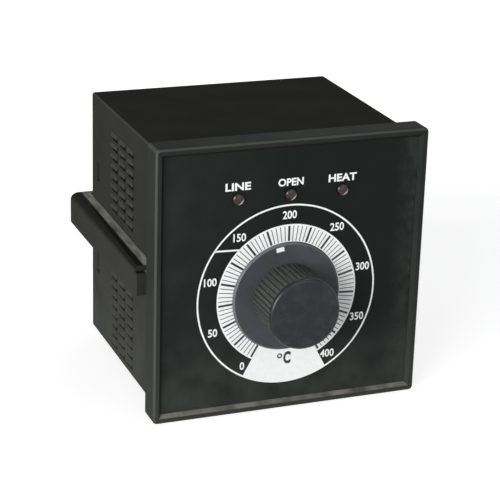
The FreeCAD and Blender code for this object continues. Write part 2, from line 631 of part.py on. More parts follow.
def about(centre, span):
    """Low and high ends of a span about a centre."""
    return ("%s - %s / 2" % (centre, span), "%s + %s / 2" % (centre, span))


CORE_Y = "(%s + %s) / 2" % (BOARD_REAR, REAR_BOARD_FRONT)
base_y = about(CORE_Y, "(coil_depth + bobbin_margin)")
base_z = about("core_centre_z", "(coil_height + bobbin_margin)")
bobbin_top = POWER_FACE + " + bobbin_thickness"
keep(block("bobbin_foot", POWER_FACE, bobbin_top, base_y[0], base_y[1], base_z[0],
           base_z[1]), "transformer_bobbin")
coil_y = about(CORE_Y, "coil_depth")
coil_z = about("core_centre_z", "coil_height")
coil_blank = block("coil_blank", bobbin_top, bobbin_top + " + coil_width", coil_y[0],
                   coil_y[1], coil_z[0], coil_z[1])
stack_from = bobbin_top + " + (coil_width - core_stack) / 2"
stack_to = stack_from + " + core_stack"
leg_y = about(CORE_Y, "core_leg")
core_y = about(CORE_Y, "core_depth")
core_z = about("core_centre_z", "core_height")
coil_leg = block("coil_leg", stack_from, stack_to, leg_y[0], leg_y[1], core_z[0],
                 core_z[1])
keep(cut("coil_cut", coil_blank, [coil_leg]), "transformer_coil")
core_blank = block("core_blank", stack_from, stack_to, core_y[0], core_y[1], core_z[0],
                   core_z[1])
windows = []
for name, first, second in (("front", coil_y[0], leg_y[0]), ("rear", leg_y[1], coil_y[1])):
    windows.append(block("core_%s_window" % name, stack_from + " - 1", stack_to + " + 1",
                         first, second, coil_z[0], coil_z[1]))
keep(cut("core_cut", core_blank, windows), "transformer_core")

relay_rear = REAR_BOARD_FRONT + " - relay_rear_gap"
relay_z = about("relay_centre_z", "relay_height")
keep(block("relay_box", MAIN_FACE + " - relay_width", MAIN_FACE,
           relay_rear + " - relay_depth", relay_rear, relay_z[0], relay_z[1]),
     "output_relay")
cans = []
for step in (0, 1):
    cans.append(rod("capacitor_%d" % step, "x", "capacitor_radius", POWER_FACE,
                    POWER_FACE + " + capacitor_length",
                    BOARD_REAR + " + capacitor_front_gap + capacitor_radius"
                    " + %d * capacitor_spacing" % step,
                    "capacitor_centre_z"))
keep(group("capacitor_group", cans), "capacitors")
chips = []
chip_front = BOARD_REAR + " + chip_front_gap"
for step in (0, 1):
    chip_z = about("(chip_centre_z - %d * chip_spacing)" % step, "chip_height")
    chips.append(block("chip_%d" % step, MAIN_FACE + " - chip_width", MAIN_FACE,
                       chip_front, chip_front + " + chip_depth", chip_z[0], chip_z[1]))
keep(group("chip_group", chips), "control_chips")

# ---- lamps ----------------------------------------------------------------
# Round-topped lamps that stand through the floor and the film.

for lamp, across in LAMPS:
    dome_base = FILM_FRONT + " - (lamp_dome_reach - lamp_dome_rise)"
    barrel = rod(lamp + "_barrel", "y", "lamp_radius", dome_base, FLOOR_REAR, across,
                 "lamp_height_up")
    flange = rod(lamp + "_flange", "y", "lamp_flange_radius", FLOOR_REAR,
                 FLOOR_REAR + " + lamp_flange_thickness", across, "lamp_height_up")
    dome = doc.addObject("Part::Ellipsoid", lamp + "_dome")
    dome.setExpression("Radius1", formula("lamp_dome_rise"))
    dome.setExpression("Radius2", formula("lamp_radius"))
    dome.setExpression("Radius3", formula("lamp_radius"))
    dome.Angle1 = 0
    dome.Placement.Rotation = FreeCAD.Rotation(FreeCAD.Vector(1, 0, 0), 90)
    for letter, text in zip("xyz", (across, dome_base, "lamp_height_up")):
        dome.setExpression("Placement.Base." + letter, formula(text))
    keep(join(lamp + "_solid", [barrel, flange, dome]), lamp)

# ---- potentiometer --------------------------------------------------------

NUT_SEAT = FLOOR_FRONT + " - pot_washer_thickness"
bore_radius = "shaft_radius + shaft_clearance"
SHAFT_END = FLOOR_REAR + " + shaft_tail"
pot_blank = rod("pot_can", "y", "pot_radius", FLOOR_REAR, FLOOR_REAR + " + pot_depth",
                "dial_centre_x", "dial_centre_z")
keep(cut("pot_cut", pot_blank, [
    rod("pot_bore", "y", bore_radius, FLOOR_REAR + " - 1", SHAFT_END + " + shaft_clearance",
        "dial_centre_x", "dial_centre_z")]), "pot_body")
bushing_blank = rod("bushing_bar", "y", "bushing_radius",
                    FLOOR_REAR + " - bushing_length", FLOOR_REAR, "dial_centre_x",
                    "dial_centre_z")
keep(cut("bushing_cut", bushing_blank, [
    rod("bushing_bore", "y", bore_radius, FLOOR_REAR + " - bushing_length - 1",
        FLOOR_REAR + " + 1", "dial_centre_x", "dial_centre_z")]), "pot_bushing")
keep(cut("pot_washer_cut", rod("pot_washer_disc", "y", "pot_washer_radius", NUT_SEAT,
                               FLOOR_FRONT, "dial_centre_x", "dial_centre_z"), [
    rod("pot_washer_hole", "y", "bushing_radius", NUT_SEAT + " - 1", FLOOR_FRONT + " + 1",
        "dial_centre_x", "dial_centre_z")]), "pot_washer")
keep(cut("pot_nut_cut", hex_bar("pot_nut_bar", "pot_nut_flats",
                                NUT_SEAT + " - pot_nut_thickness", NUT_SEAT,
                                "dial_centre_x", "dial_centre_z"), [
    rod("pot_nut_hole", "y", "bushing_radius", NUT_SEAT + " - pot_nut_thickness - 1",
        NUT_SEAT + " + 1", "dial_centre_x", "dial_centre_z")]), "pot_nut")
KNOB_FRONT = "-bezel_depth - knob_reach"
DRUM_FRONT = KNOB_FRONT + " + cap_thickness"
CAP_REAR = DRUM_FRONT + " + cap_spigot_length"
WEB_FRONT = CAP_REAR + " + well_depth"
SHAFT_FRONT = CAP_REAR + " + shaft_front_gap"
keep(rod("shaft_bar", "y", "shaft_radius", SHAFT_FRONT, SHAFT_END, "dial_centre_x",
         "dial_centre_z"), "pot_shaft")

# ---- knob -----------------------------------------------------------------
# Fluted drum on a thin skirt, hollow behind; a brass collet grips the shaft and a
# round-edged cap closes the front over its nut.

SKIRT_REAR = FILM_FRONT + " - skirt_gap"
SKIRT_FRONT = SKIRT_REAR + " - skirt_thickness"
WEB_REAR = WEB_FRONT + " + web_thickness"
knob = new_body("dial_knob_body")
for letter, text in (("x", "dial_centre_x"), ("z", "dial_centre_z")):
    knob.setExpression("Placement.Base." + letter, formula(text))
sketch = new_sketch(knob, "knob_profile", "XY_Plane")
draw_outline(sketch, (
    ("cavity_radius", SKIRT_REAR), ("skirt_radius", SKIRT_REAR),
    ("skirt_radius", SKIRT_FRONT + " + skirt_chamfer"),
    ("skirt_radius - skirt_chamfer", SKIRT_FRONT),
    ("drum_base_radius", SKIRT_FRONT), ("drum_front_radius", DRUM_FRONT),
    ("cap_spigot_radius", DRUM_FRONT), ("cap_spigot_radius", CAP_REAR),
    ("well_radius", CAP_REAR), ("well_radius", WEB_FRONT),
    ("collet_radius", WEB_FRONT), ("collet_radius", WEB_REAR),
    ("cavity_radius", WEB_REAR)))
turned = knob.newObject("PartDesign::Revolution", "knob_turned")
turned.Profile = sketch
turned.ReferenceAxis = (sketch, ["V_Axis"])
turned.Angle = 360
sketch.Visibility = False
sketch = new_sketch(knob, "flute_outline", "XZ_Plane", "-(%s) + 0.01" % SKIRT_FRONT)
draw_outline(sketch, (
    ("-flute_bottom / 2", "drum_front_radius - flute_depth"),
    ("flute_bottom / 2", "drum_front_radius - flute_depth"),
    ("flute_mouth / 2", "drum_base_radius + 1"),
    ("-flute_mouth / 2", "drum_base_radius + 1")))
flute = extrude(knob, "Pocket", "flute", sketch, "knob_reach + 5", back=True)
flutes = knob.newObject("PartDesign::PolarPattern", "flutes")
flutes.Originals = [flute]
flutes.Axis = (axis_of(knob, "Y_Axis"), [""])
flutes.Angle = 360
flutes.setExpression("Occurrences", formula("flute_count"))
knob.Tip = flutes
sketch = new_sketch(knob, "pointer_outline", "XZ_Plane", "-(%s)" % SKIRT_FRONT)
draw_box(sketch, "-pointer_width / 2", "pointer_width / 2", "pointer_inner_radius",
         "pointer_inner_radius + pointer_length")
sketch.setExpression("AttachmentOffset.Rotation.Angle", formula("pointer_angle"))
extrude(knob, "Pocket", "pointer_recess", sketch, "pointer_depth")
keep(knob, "dial_knob")
cap = new_body("knob_cap_body")
for letter, text in (("x", "dial_centre_x"), ("z", "dial_centre_z")):
    cap.setExpression("Placement.Base." + letter, formula(text))
sketch = new_sketch(cap, "cap_outline", "XZ_Plane", "-(%s)" % DRUM_FRONT)
draw_circle(sketch, "0", "0", "cap_radius")
disc = extrude(cap, "Pad", "cap_disc", sketch, "cap_thickness")
disc = round_edges(cap, "cap_edge", disc, "cap_edge_round",
                   lambda b: flat_at(b, "Y", -size("bezel_depth") - size("knob_reach")))
sketch = new_sketch(cap, "cap_spigot_outline", "XZ_Plane", "-(%s)" % DRUM_FRONT)
draw_circle(sketch, "0", "0", "cap_spigot_radius")
extrude(cap, "Pad", "cap_spigot", sketch, "cap_spigot_length", back=True)
keep(cap, "knob_cap")
NUT_FRONT = WEB_FRONT + " - collet_nut_thickness"
collet_solid = join("collet_solid", [
    rod("collet_sleeve", "y", "collet_radius", WEB_FRONT, WEB_REAR, "dial_centre_x",
        "dial_centre_z"),
    rod("collet_thread", "y", "collet_thread_radius", NUT_FRONT, WEB_FRONT,
        "dial_centre_x", "dial_centre_z")])
keep(cut("collet_cut", collet_solid, [
    rod("collet_bore", "y", "shaft_radius", NUT_FRONT + " - 1", WEB_REAR + " + 1",
        "dial_centre_x", "dial_centre_z")]), "knob_collet")
keep(cut("collet_nut_cut", hex_bar("collet_nut_bar", "collet_nut_flats", NUT_FRONT,
                                   WEB_FRONT, "dial_centre_x", "dial_centre_z"), [
    rod("collet_nut_hole", "y", "collet_thread_radius", NUT_FRONT + " - 1",
        WEB_FRONT + " + 1", "dial_centre_x", "dial_centre_z")]), "collet_nut")

# ---- mounting yoke --------------------------------------------------------
# One moulding: two arms along the sides, joined by a bridge behind the terminals. Their
# front feet press on the back of the panel.

ARM_INNER = "(housing_width / 2 + yoke_gap)"
ARM_OUTER = "(housing_width / 2 + yoke_gap + yoke_arm_thickness)"
yoke = new_body("mounting_yoke_body")
sketch = new_sketch(yoke, "yoke_plan", "XY_Plane")
draw_outline(sketch, (
    ("-" + ARM_OUTER, "yoke_front_gap"), ("-" + ARM_INNER, "yoke_front_gap"),
    ("-" + ARM_INNER, BRIDGE_FRONT), (ARM_INNER, BRIDGE_FRONT),
    (ARM_INNER, "yoke_front_gap"), (ARM_OUTER, "yoke_front_gap"),
    (ARM_OUTER, YOKE_REAR), ("-" + ARM_OUTER, YOKE_REAR)))
strap = extrude(yoke, "Pad", "yoke_strap", sketch, "2 * yoke_half_height", middle=True)


def outer_edges(bounds, level):
    """Edges of the strap's outside, along the arms and the back of the bridge."""
    arm = size("housing_width") / 2 + size("yoke_gap") + size("yoke_arm_thickness")
    rear = size("housing_depth") + size("yoke_bridge_gap") + size("yoke_bridge_thickness")
    if not flat_at(bounds, "Z", level):
        return False
    return (flat_at(bounds, "X", arm) or flat_at(bounds, "X", -arm)
            or flat_at(bounds, "Y", rear))


strap = round_edges(yoke, "yoke_shoulder", strap, "yoke_shoulder_radius",
                    lambda b: outer_edges(b, size("yoke_half_height")))
strap = round_edges(yoke, "yoke_lower_edge", strap, "yoke_lower_round",
                    lambda b: outer_edges(b, -size("yoke_half_height")))
for level, sign, taper in (("upper", "", "yoke_upper_taper"),
                           ("lower", "-", "yoke_lower_taper")):
    sketch = new_sketch(yoke, level + "_taper_outline", "YZ_Plane")
    draw_outline(sketch, (
        ("-1", sign + "(yoke_half_height - %s)" % taper),
        (BRIDGE_FRONT, sign + "yoke_half_height"),
        ("-1", sign + "(yoke_half_height + 1)")))
    extrude(yoke, "Pocket", level + "_taper", sketch, "housing_width * 2", middle=True)
sketch = new_sketch(yoke, "foot_ledge_outline", "YZ_Plane")
draw_box(sketch, "-1", "yoke_front_gap + foot_ledge", "foot_height_up",
         "yoke_half_height + 1")
extrude(yoke, "Pocket", "foot_ledges", sketch, "housing_width * 2", middle=True)
sketch = new_sketch(yoke, "channel_outline", "XZ_Plane")
draw_box(sketch, "-(%s + channel_depth)" % ARM_INNER, "%s + channel_depth" % ARM_INNER,
         "-channel_half_height", "channel_half_height")
extrude(yoke, "Pocket", "rack_channel", sketch, BRIDGE_FRONT + " - channel_end_margin")
keep(yoke, "mounting_yoke")

# ---- check every piece and write it out -----------------------------------

doc.recompute()
for item in doc.Objects:
    if "Invalid" in item.State or "Error" in item.State:
        raise RuntimeError("%s did not build: %s" % (item.Name, item.State))
os.makedirs("parts", exist_ok=True)
for item in NODES:
    shape = item.Shape
    if shape.isNull() or not shape.isValid() or not shape.Solids:
        raise RuntimeError("%s is not a valid solid" % item.Label)
    item.Shape.exportStep("parts/%s.step" % item.Label)
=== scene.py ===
import math

import bpy
from mathutils import Matrix, Vector


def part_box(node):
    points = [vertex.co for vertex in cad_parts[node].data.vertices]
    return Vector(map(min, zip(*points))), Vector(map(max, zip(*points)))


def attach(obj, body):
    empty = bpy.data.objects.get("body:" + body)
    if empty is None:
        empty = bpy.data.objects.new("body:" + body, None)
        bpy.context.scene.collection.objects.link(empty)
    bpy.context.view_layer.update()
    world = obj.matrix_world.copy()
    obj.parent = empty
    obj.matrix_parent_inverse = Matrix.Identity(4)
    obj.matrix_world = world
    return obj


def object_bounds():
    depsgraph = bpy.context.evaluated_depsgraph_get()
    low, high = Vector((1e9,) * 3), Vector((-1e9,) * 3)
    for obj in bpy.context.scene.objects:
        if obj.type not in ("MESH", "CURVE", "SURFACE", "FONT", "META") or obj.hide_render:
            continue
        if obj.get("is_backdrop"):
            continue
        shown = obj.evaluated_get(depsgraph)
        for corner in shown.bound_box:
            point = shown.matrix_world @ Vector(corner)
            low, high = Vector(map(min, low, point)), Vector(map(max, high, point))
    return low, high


bl_info = {
    "name": "Panel Temperature Controller",
    "version": (1, 0, 0),
    "blender": (4, 5, 0),
    "location": "View3D > Sidebar > Controller",
    "description": "Finishes, prints and stages a dial-set panel temperature controller",
    "category": "Object",
}

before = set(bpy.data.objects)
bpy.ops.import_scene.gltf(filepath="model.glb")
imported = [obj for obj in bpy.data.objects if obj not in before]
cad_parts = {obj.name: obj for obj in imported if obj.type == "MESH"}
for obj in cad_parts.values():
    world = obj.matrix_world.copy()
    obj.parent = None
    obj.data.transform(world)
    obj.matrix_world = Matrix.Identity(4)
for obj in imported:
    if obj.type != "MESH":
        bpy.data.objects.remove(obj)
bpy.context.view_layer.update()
MM = 0.001


def centre_of(node):
    """Middle of a CAD node's box."""
    low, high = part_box(node)
    return (Vector(low) + Vector(high)) / 2


FILM_FRONT_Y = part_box("face_film")[0][1]
COVER_REAR_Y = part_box("rear_cover")[1][1]
LAMP_NODES = ("lamp_left", "lamp_middle", "lamp_right")
KNOB = centre_of("dial_knob")
SCALE_RISE = 0.4 * MM
# the printed scale is centred under the middle lamp, a little above the knob's centre
SCALE = Vector((centre_of("lamp_middle").x, FILM_FRONT_Y, KNOB.z + SCALE_RISE))


# ---- settings --------------------------------------------------------------

def colour_prop(name, description, default):
    return bpy.props.FloatVectorProperty(
        name=name, description=description, subtype="COLOR", size=3, min=0.0, max=1.0,
        default=default)


def length_prop(name, description, default):
    """A length setting; its default is in millimetres."""
    return bpy.props.FloatProperty(
        name=name, description=description, default=default * MM, unit="LENGTH",
        precision=5)


def angle_prop(name, description, default):
    """An angle setting; its default is in degrees."""
    return bpy.props.FloatProperty(
        name=name, description=description, default=math.radians(default),
        subtype="ANGLE")


class ControllerColours(bpy.types.PropertyGroup):
    """Colours of the controller's plastics and print"""
    bezel: colour_prop("Bezel", "Moulded front frame", (0.033, 0.036, 0.033))
    film: colour_prop("Film", "Ground of the printed face", (0.007, 0.010, 0.009))
    housing: colour_prop("Housing", "Slotted housing and rear cover", (0.038, 0.038, 0.033))
    yoke: colour_prop("Yoke", "Sliding mounting yoke", (0.031, 0.032, 0.028))
    # colour of painted highlights and painted light on the mouldings and the film, and of
    # real smudges on the cap
    worn: colour_prop("Worn edges", "Rubbed edges and slopes of the mouldings",
                      (0.075, 0.078, 0.070))
    # colour of the painted highlight along the top of the yoke's arms
    rubbed: colour_prop("Rubbed top", "Dusty sliding face on top of the yoke",
                        (0.47, 0.47, 0.40))
    # a dusting on the bottom ledge together with a painted highlight standing in for its
    # reflection
    dust: colour_prop("Dust", "Dust lying on the bottom ledge", (0.22, 0.21, 0.19))
    skirt: colour_prop("Skirt", "Satin skirt of the knob", (0.063, 0.069, 0.078))
    # colour of the painted highlight along the skirt's edge and of real wear on the drum
    rim: colour_prop("Rim", "Rubbed edge of the skirt", (0.16, 0.17, 0.18))
    drum: colour_prop("Drum", "Fluted drum of the knob", (0.066, 0.070, 0.062))
    stain: colour_prop("Stains", "Warm stains on the skirt", (0.055, 0.053, 0.046))
    cap: colour_prop("Cap", "Cap of the knob", (0.005, 0.009, 0.011))
    print_white: colour_prop("Print", "White print on the face", (0.96, 0.97, 0.965))
    print_black: colour_prop("Marks", "Black marks on the white ring", (0.010, 0.010, 0.011))
    lamp: colour_prop("Lamp", "Unlit smoky lamp lens", (0.022, 0.012, 0.011))
    terminal: colour_prop("Terminal block", "Black terminal mouldings", (0.016, 0.016, 0.017))


class DialSizes(bpy.types.PropertyGroup):
    """Sizes of the print on the face"""
    ring_inner: length_prop("Ring inside", "Inner radius of the white ring", 18.9)
    ring_outer: length_prop("Ring outside", "Outer radius of the white ring", 25.1)
    tick_inner: length_prop("Tick inside", "Inner end of the scale marks", 19.2)
    tick_outer: length_prop("Tick outside", "Outer end of the scale marks", 24.5)
    major_width: length_prop("Long mark width", "Width of the numbered marks", 0.75)
    minor_width: length_prop("Short mark width", "Width of the marks between", 0.27)
    circle_radius: length_prop("Circle radius", "Middle of the thin outer circle", 31.8)
    circle_width: length_prop("Circle width", "Line width of the outer circle", 0.60)
    number_radius: length_prop("Number radius", "Centres of the scale numbers", 28.4)
    number_height: length_prop("Number height", "Height of the scale numbers", 2.9)
    label_height: length_prop("Word height", "Height of the words over the lamps", 2.7)
    sweep: angle_prop("Sweep", "Angle from the middle of the scale to either end", 150.0)
    sector_gap: angle_prop("Sector gap", "Angle from the last mark to the white sector", 1.5)
    top_value: bpy.props.IntProperty(
        name="Top value", description="Number at the clockwise end of the scale",
        default=400)


def colours():
    return bpy.context.scene.controller_colours


def dial():
    return bpy.context.scene.controller_dial


# ---- meshes ----------------------------------------------------------------

PRINT_LIFT = 0.03 * MM
# black print lies on the white
OVERPRINT_LIFT = 2 * PRINT_LIFT
# corners of a four-sided face, anticlockwise, as signs of half its sides
CORNERS = ((-1, -1), (1, -1), (1, 1), (-1, 1))
QUAD = [(0, 1, 2, 3)]


def add_mesh(name, points, faces, body, material):
    """A new piece from points and faces, riding on a body."""
    mesh = bpy.data.meshes.new(name)
    mesh.from_pydata([tuple(point) for point in points], [], faces)
    mesh.update()
    piece = bpy.data.objects.new(name, mesh)
    bpy.context.scene.collection.objects.link(piece)
    piece.data.materials.append(material)
    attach(piece, body)


def face_point(across, up, lift=PRINT_LIFT):
    """Point on the printed face, from distances off the scale's centre."""
    return Vector((SCALE.x + across, FILM_FRONT_Y - lift, SCALE.z + up))


def on_dial(radius, angle):
    """Point of the face at a radius and a clockwise angle from the top."""
    return face_point(radius * math.sin(angle), radius * math.cos(angle))


def band(inner, outer, start, end, steps):
    """Points and faces of part of a flat ring, clockwise from start to end."""
    points = []
    faces = []
    for step in range(steps + 1):
        angle = start + (end - start) * step / steps
        points += [on_dial(inner, angle), on_dial(outer, angle)]
    for step in range(steps):
        first = 2 * step
        faces.append((first, first + 2, first + 3, first + 1))
    return points, faces


def small_ring(across, up, inner, outer, steps=24):
    """Points and faces of a whole small ring, anywhere on the white of the face."""
    points = []
    faces = []
    for step in range(steps):
        angle = 2 * math.pi * step / steps
        for radius in (inner, outer):
            points.append(face_point(across + radius * math.sin(angle),
                                     up + radius * math.cos(angle), OVERPRINT_LIFT))
    for step in range(steps):
        first = 2 * step
        following = 2 * ((step + 1) % steps)
        faces.append((first, following, following + 1, first + 1))
    return points, faces


def bar(centre_across, centre_up, length, width, turn, lift=PRINT_LIFT):
    """Flat bar on the face; turn is anticlockwise from level."""
    along = Vector((math.cos(turn), math.sin(turn)))
    side = Vector((-along.y, along.x))
    points = []
    for first, second in CORNERS:
        offset = along * (first * length / 2) + side * (second * width / 2)
        points.append(face_point(centre_across + offset.x, centre_up + offset.y, lift))
    return points, QUAD


def merge(parts):
    """Several (points, faces) lists as one."""
    points = []
    faces = []
    for more_points, more_faces in parts:
        start = len(points)
        points += more_points
        faces += [tuple(start + index for index in face) for face in more_faces]
    return points, faces


# how far a letter's outline grows at a bold of 1, in heights of the typeface
BOLD_OFFSET = 0.25
LETTER_CURVE_STEPS = 3


def letter_mesh(text, height, bold):
    """Flat outline of a word, its middle at the origin, as flat points and faces."""
    curve = bpy.data.curves.new("letters", "FONT")
    curve.body = text
    curve.offset = bold * BOLD_OFFSET
    curve.resolution_u = LETTER_CURVE_STEPS
    holder = bpy.data.objects.new("letters", curve)
    bpy.context.scene.collection.objects.link(holder)
    graph = bpy.context.evaluated_depsgraph_get()
    graph.update()
    mesh = bpy.data.meshes.new_from_object(holder.evaluated_get(graph))
    bpy.data.objects.remove(holder)
    bpy.data.curves.remove(curve)
    xs = [vertex.co.x for vertex in mesh.vertices]
    ys = [vertex.co.y for vertex in mesh.vertices]
    scale = height / (max(ys) - min(ys))
    middle_x = (max(xs) + min(xs)) / 2
    middle_y = (max(ys) + min(ys)) / 2
    points = [((x - middle_x) * scale, (y - middle_y) * scale) for x, y in zip(xs, ys)]
    faces = [tuple(face.vertices) for face in mesh.polygons]
    bpy.data.meshes.remove(mesh)
    return points, faces


def written(text, across, up, height, bold, stretch=1.0, lift=PRINT_LIFT):
    """A word on the face, centred at distances off the scale's centre."""
    points, faces = letter_mesh(text, height, bold)
    return [face_point(across + x * stretch, up + y, lift) for x, y in points], faces


# ---- materials -------------------------------------------------------------

# run of the normal's longest part, from surfaces square to the axes to sloping ones
OFF_SQUARE = (0.99, 0.90)
# run of a noise over which a surface goes from smooth to dull
ROUGH_RUN = (0.3, 0.7)


class Finish:
    """Builds one node material step by step.

    A mask is a socket that is 1 where something shows and 0 where it doesn't. A run is
    the pair of values of a source between which its mask goes from 0 to 1.
    """

    SOCKETS = {"colour": "Base Color", "rough": "Roughness", "metal": "Metallic",
               "specular": "Specular IOR Level"}

    def __init__(self, name):
        self.material = bpy.data.materials.new(name)
        self.material.use_nodes = True
        self.tree = self.material.node_tree
        self.tree.nodes.clear()
        output = self.add("ShaderNodeOutputMaterial")
        self.shader = self.add("ShaderNodeBsdfPrincipled")
        self.join(self.shader.outputs["BSDF"], output.inputs["Surface"])
        where = self.add("ShaderNodeTexCoord")
        self.place = where.outputs["Object"]
        self.normal = where.outputs["Normal"]
        self.share_of_box = where.outputs["Generated"]

    def add(self, kind, **values):
        """A new node with some of its settings."""
        node = self.tree.nodes.new(kind)
        for key, value in values.items():
            setattr(node, key, value)
        return node

    def join(self, source, target):
        self.tree.links.new(source, target)

    def set(self, **values):
        """Give sockets of the shader one value all over."""
        for key, value in values.items():
            if key == "colour":
                value = (*value, 1.0)
            self.shader.inputs[self.SOCKETS[key]].default_value = value

    # sources

    def stretched(self, scale):
        """The place on the piece, stretched along its axes."""
        mapping = self.add("ShaderNodeMapping")
        mapping.inputs["Scale"].default_value = scale
        self.join(self.place, mapping.inputs["Vector"])
        return mapping.outputs["Vector"]

    def noise(self, size, detail=3.0, place=None):
        """Noise whose grains are about size metres across."""
        node = self.add("ShaderNodeTexNoise")
        node.inputs["Scale"].default_value = 1.0 / size
        node.inputs["Detail"].default_value = detail
        self.join(place or self.place, node.inputs["Vector"])
        return node.outputs["Fac"]

    def part_of(self, vector, axis):
        """One part of a vector."""
        split = self.add("ShaderNodeSeparateXYZ")
        self.join(vector, split.inputs[0])
        return split.outputs[axis]

    def part_size(self, vector, axis):
        """How far a vector reaches along an axis, whichever way."""
        size = self.add("ShaderNodeVectorMath", operation="ABSOLUTE")
        self.join(vector, size.inputs[0])
        return self.part_of(size.outputs[0], axis)

    def maths(self, operation, *values):
        """Sources and numbers put together."""
        node = self.add("ShaderNodeMath", operation=operation)
        for value, target in zip(values, node.inputs):
            if isinstance(value, float):
                target.default_value = value
            else:
                self.join(value, target)
        return node.outputs[0]

    # masks

    def between(self, source, run):
        """A source's mask over a run, held beyond both ends."""
        node = self.add("ShaderNodeMapRange")
        self.join(source, node.inputs["Value"])
        node.inputs["From Min"].default_value, node.inputs["From Max"].default_value = run
        return node.outputs["Result"]

    def along(self, axis, run):
        """Mask by the place along one of the piece's own axes."""
        return self.between(self.part_of(self.place, axis), run)

    def facing(self, axis, run):
        """Mask by how squarely the surface faces along an axis."""
        return self.between(self.part_of(self.normal, axis), run)

    def patches(self, size, detail, run, place=None):
        """Cloudy mask with patches about size metres across."""
        return self.between(self.noise(size, detail, place), run)

    def off_square(self):
        """Mask of the rounded and sloping surfaces."""
        most = self.maths("MAXIMUM", self.part_size(self.normal, "X"),
                          self.part_size(self.normal, "Y"))
        most = self.maths("MAXIMUM", most, self.part_size(self.normal, "Z"))
        return self.between(most, OFF_SQUARE)

    def both(self, *masks):
        """Mask of what all the masks share."""
        shared = masks[0]
        for mask in masks[1:]:
            shared = self.maths("MULTIPLY", shared, mask)
        return shared

    # what the shader gets

    def ramp(self, source, run, ends):
        """Colour or number that follows a source over a run."""
        node = self.add("ShaderNodeValToRGB")
        for element, position, value in zip(node.color_ramp.elements, run, ends):
            element.position = position
            if isinstance(value, float):
                value = (value, value, value)
            element.color = (*value, 1.0)
        self.join(source, node.inputs["Fac"])
        return node.outputs["Color"]

    def vary_colour(self, source, first, second, run=(0.35, 0.65)):
        self.join(self.ramp(source, run, (first, second)), self.shader.inputs["Base Color"])

    def vary_rough(self, source, smooth, dull):
        self.join(self.ramp(source, ROUGH_RUN, (smooth, dull)),
                  self.shader.inputs["Roughness"])

    def overlay(self, mask, colour, share=1.0):
        """Lay a share of a colour over the varied colour where the mask is 1."""
        if share < 1.0:
            mask = self.maths("MULTIPLY", mask, share)
        base = self.shader.inputs["Base Color"]
        mix = self.add("ShaderNodeMix", data_type="RGBA")
        under, over = [socket for socket in mix.inputs if socket.type == "RGBA"]
        result = [socket for socket in mix.outputs if socket.type == "RGBA"][0]
        self.join(base.links[0].from_socket, under)
        over.default_value = (*colour, 1.0)
        self.join(mask, mix.inputs["Factor"])
        self.join(result, base)

    def bump(self, source, depth):
        """Raise the surface by a source."""
        node = self.add("ShaderNodeBump")
        node.inputs["Distance"].default_value = depth
        node.inputs["Strength"].default_value = 1.0
        self.join(source, node.inputs["Height"])
        self.join(node.outputs["Normal"], self.shader.inputs["Normal"])


def toned(colour, by):
    """A colour made lighter or darker."""
    return tuple(min(1.0, channel * by) for channel in colour)


MOULD_CLOUDS = 14 * MM
HANDLING_MARKS = 5 * MM
HANDLING_STRETCH = (1.0, 0.35, 1.4)


def moulded(name, colour, rough, specular=0.3, grain=0.35 * MM, depth=0.012 * MM,
            spread=0.06):
    """Moulded plastic: fine grain, faint handling marks, slightly uneven colour."""
    finish = Finish(name)
    finish.set(specular=specular)
    finish.vary_colour(finish.noise(MOULD_CLOUDS, 4.0), toned(colour, 1.0 - spread),
                       toned(colour, 1.0 + spread))
    marks = finish.noise(HANDLING_MARKS, 6.0, finish.stretched(HANDLING_STRETCH))
    finish.vary_rough(marks, rough - 0.04, rough + 0.05)
    finish.bump(finish.noise(grain, 2.0), depth)
    return finish


METAL_CLOUDS = 3 * MM
METAL_MARK_DEPTH = 0.01 * MM


def metal(name, colour, rough, stretch=(1.0, 1.0, 1.0), grain=0.2 * MM):
    """Turned or rolled metal, its fine marks drawn out by a stretch."""
    finish = Finish(name)
    finish.set(metal=1.0)
    finish.vary_colour(finish.noise(METAL_CLOUDS, 4.0), toned(colour, 0.86),
                       toned(colour, 1.08))
    lines = finish.noise(grain, 2.0, finish.stretched(stretch))
    finish.vary_rough(lines, rough - 0.06, rough + 0.12)
    finish.bump(lines, METAL_MARK_DEPTH)
    return finish


INK_CLOUDS = 1.2 * MM
INK_SHEEN_CLOUDS = 3 * MM
INK_GRAIN = 0.12 * MM
INK_DEPTH = 0.003 * MM


def plain_print(name, colour, rough):
    """Screen-printed ink, very slightly uneven."""
    finish = Finish(name)
    finish.vary_colour(finish.noise(INK_CLOUDS, 3.0), toned(colour, 0.95), colour)
    finish.vary_rough(finish.noise(INK_SHEEN_CLOUDS, 2.0), rough - 0.04, rough + 0.06)
    finish.bump(finish.noise(INK_GRAIN, 1.0), INK_DEPTH)
    return finish


def dress(nodes, finish):
    """Give CAD nodes a finish in every slot."""
    for name in nodes:
        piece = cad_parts[name]
        if not piece.material_slots:
            piece.data.materials.append(finish.material)
        for slot in piece.material_slots:
            slot.material = finish.material


# ---- case ------------------------------------------------------------------

# runs by place are in metres from the frame's axes, runs by facing are parts of the normal
BEZEL_OUTER_EDGE = (46.2 * MM, 46.8 * MM)
BEZEL_FRONT = (-0.30, -0.50)
BEZEL_LOWER = (15 * MM, -45 * MM)
LEDGE_FACING_UP = (0.70, 0.80)
BOTTOM_LEDGE = (-40 * MM, -41 * MM)
LEDGE_PATCH_SIZE = 7 * MM
LEDGE_PATCHES = (0.20, 0.60)
HOUSING_LOWER = (15 * MM, -38 * MM)
HOUSING_LIGHT_PATCH_SIZE = 11 * MM
HOUSING_LIGHT_PATCHES = (0.05, 0.60)
# how strongly painted shade, painted light and painted highlights show over each moulding's
# own colour
FRONT_SHADE_SHARE = 0.25
BEZEL_LOWER_LIGHT_SHARE = 0.38
SLOPE_HIGHLIGHT_SHARE = 0.65
HOUSING_LOWER_LIGHT_SHARE = 0.90
COVER_HIGHLIGHT_SHARE = 0.60


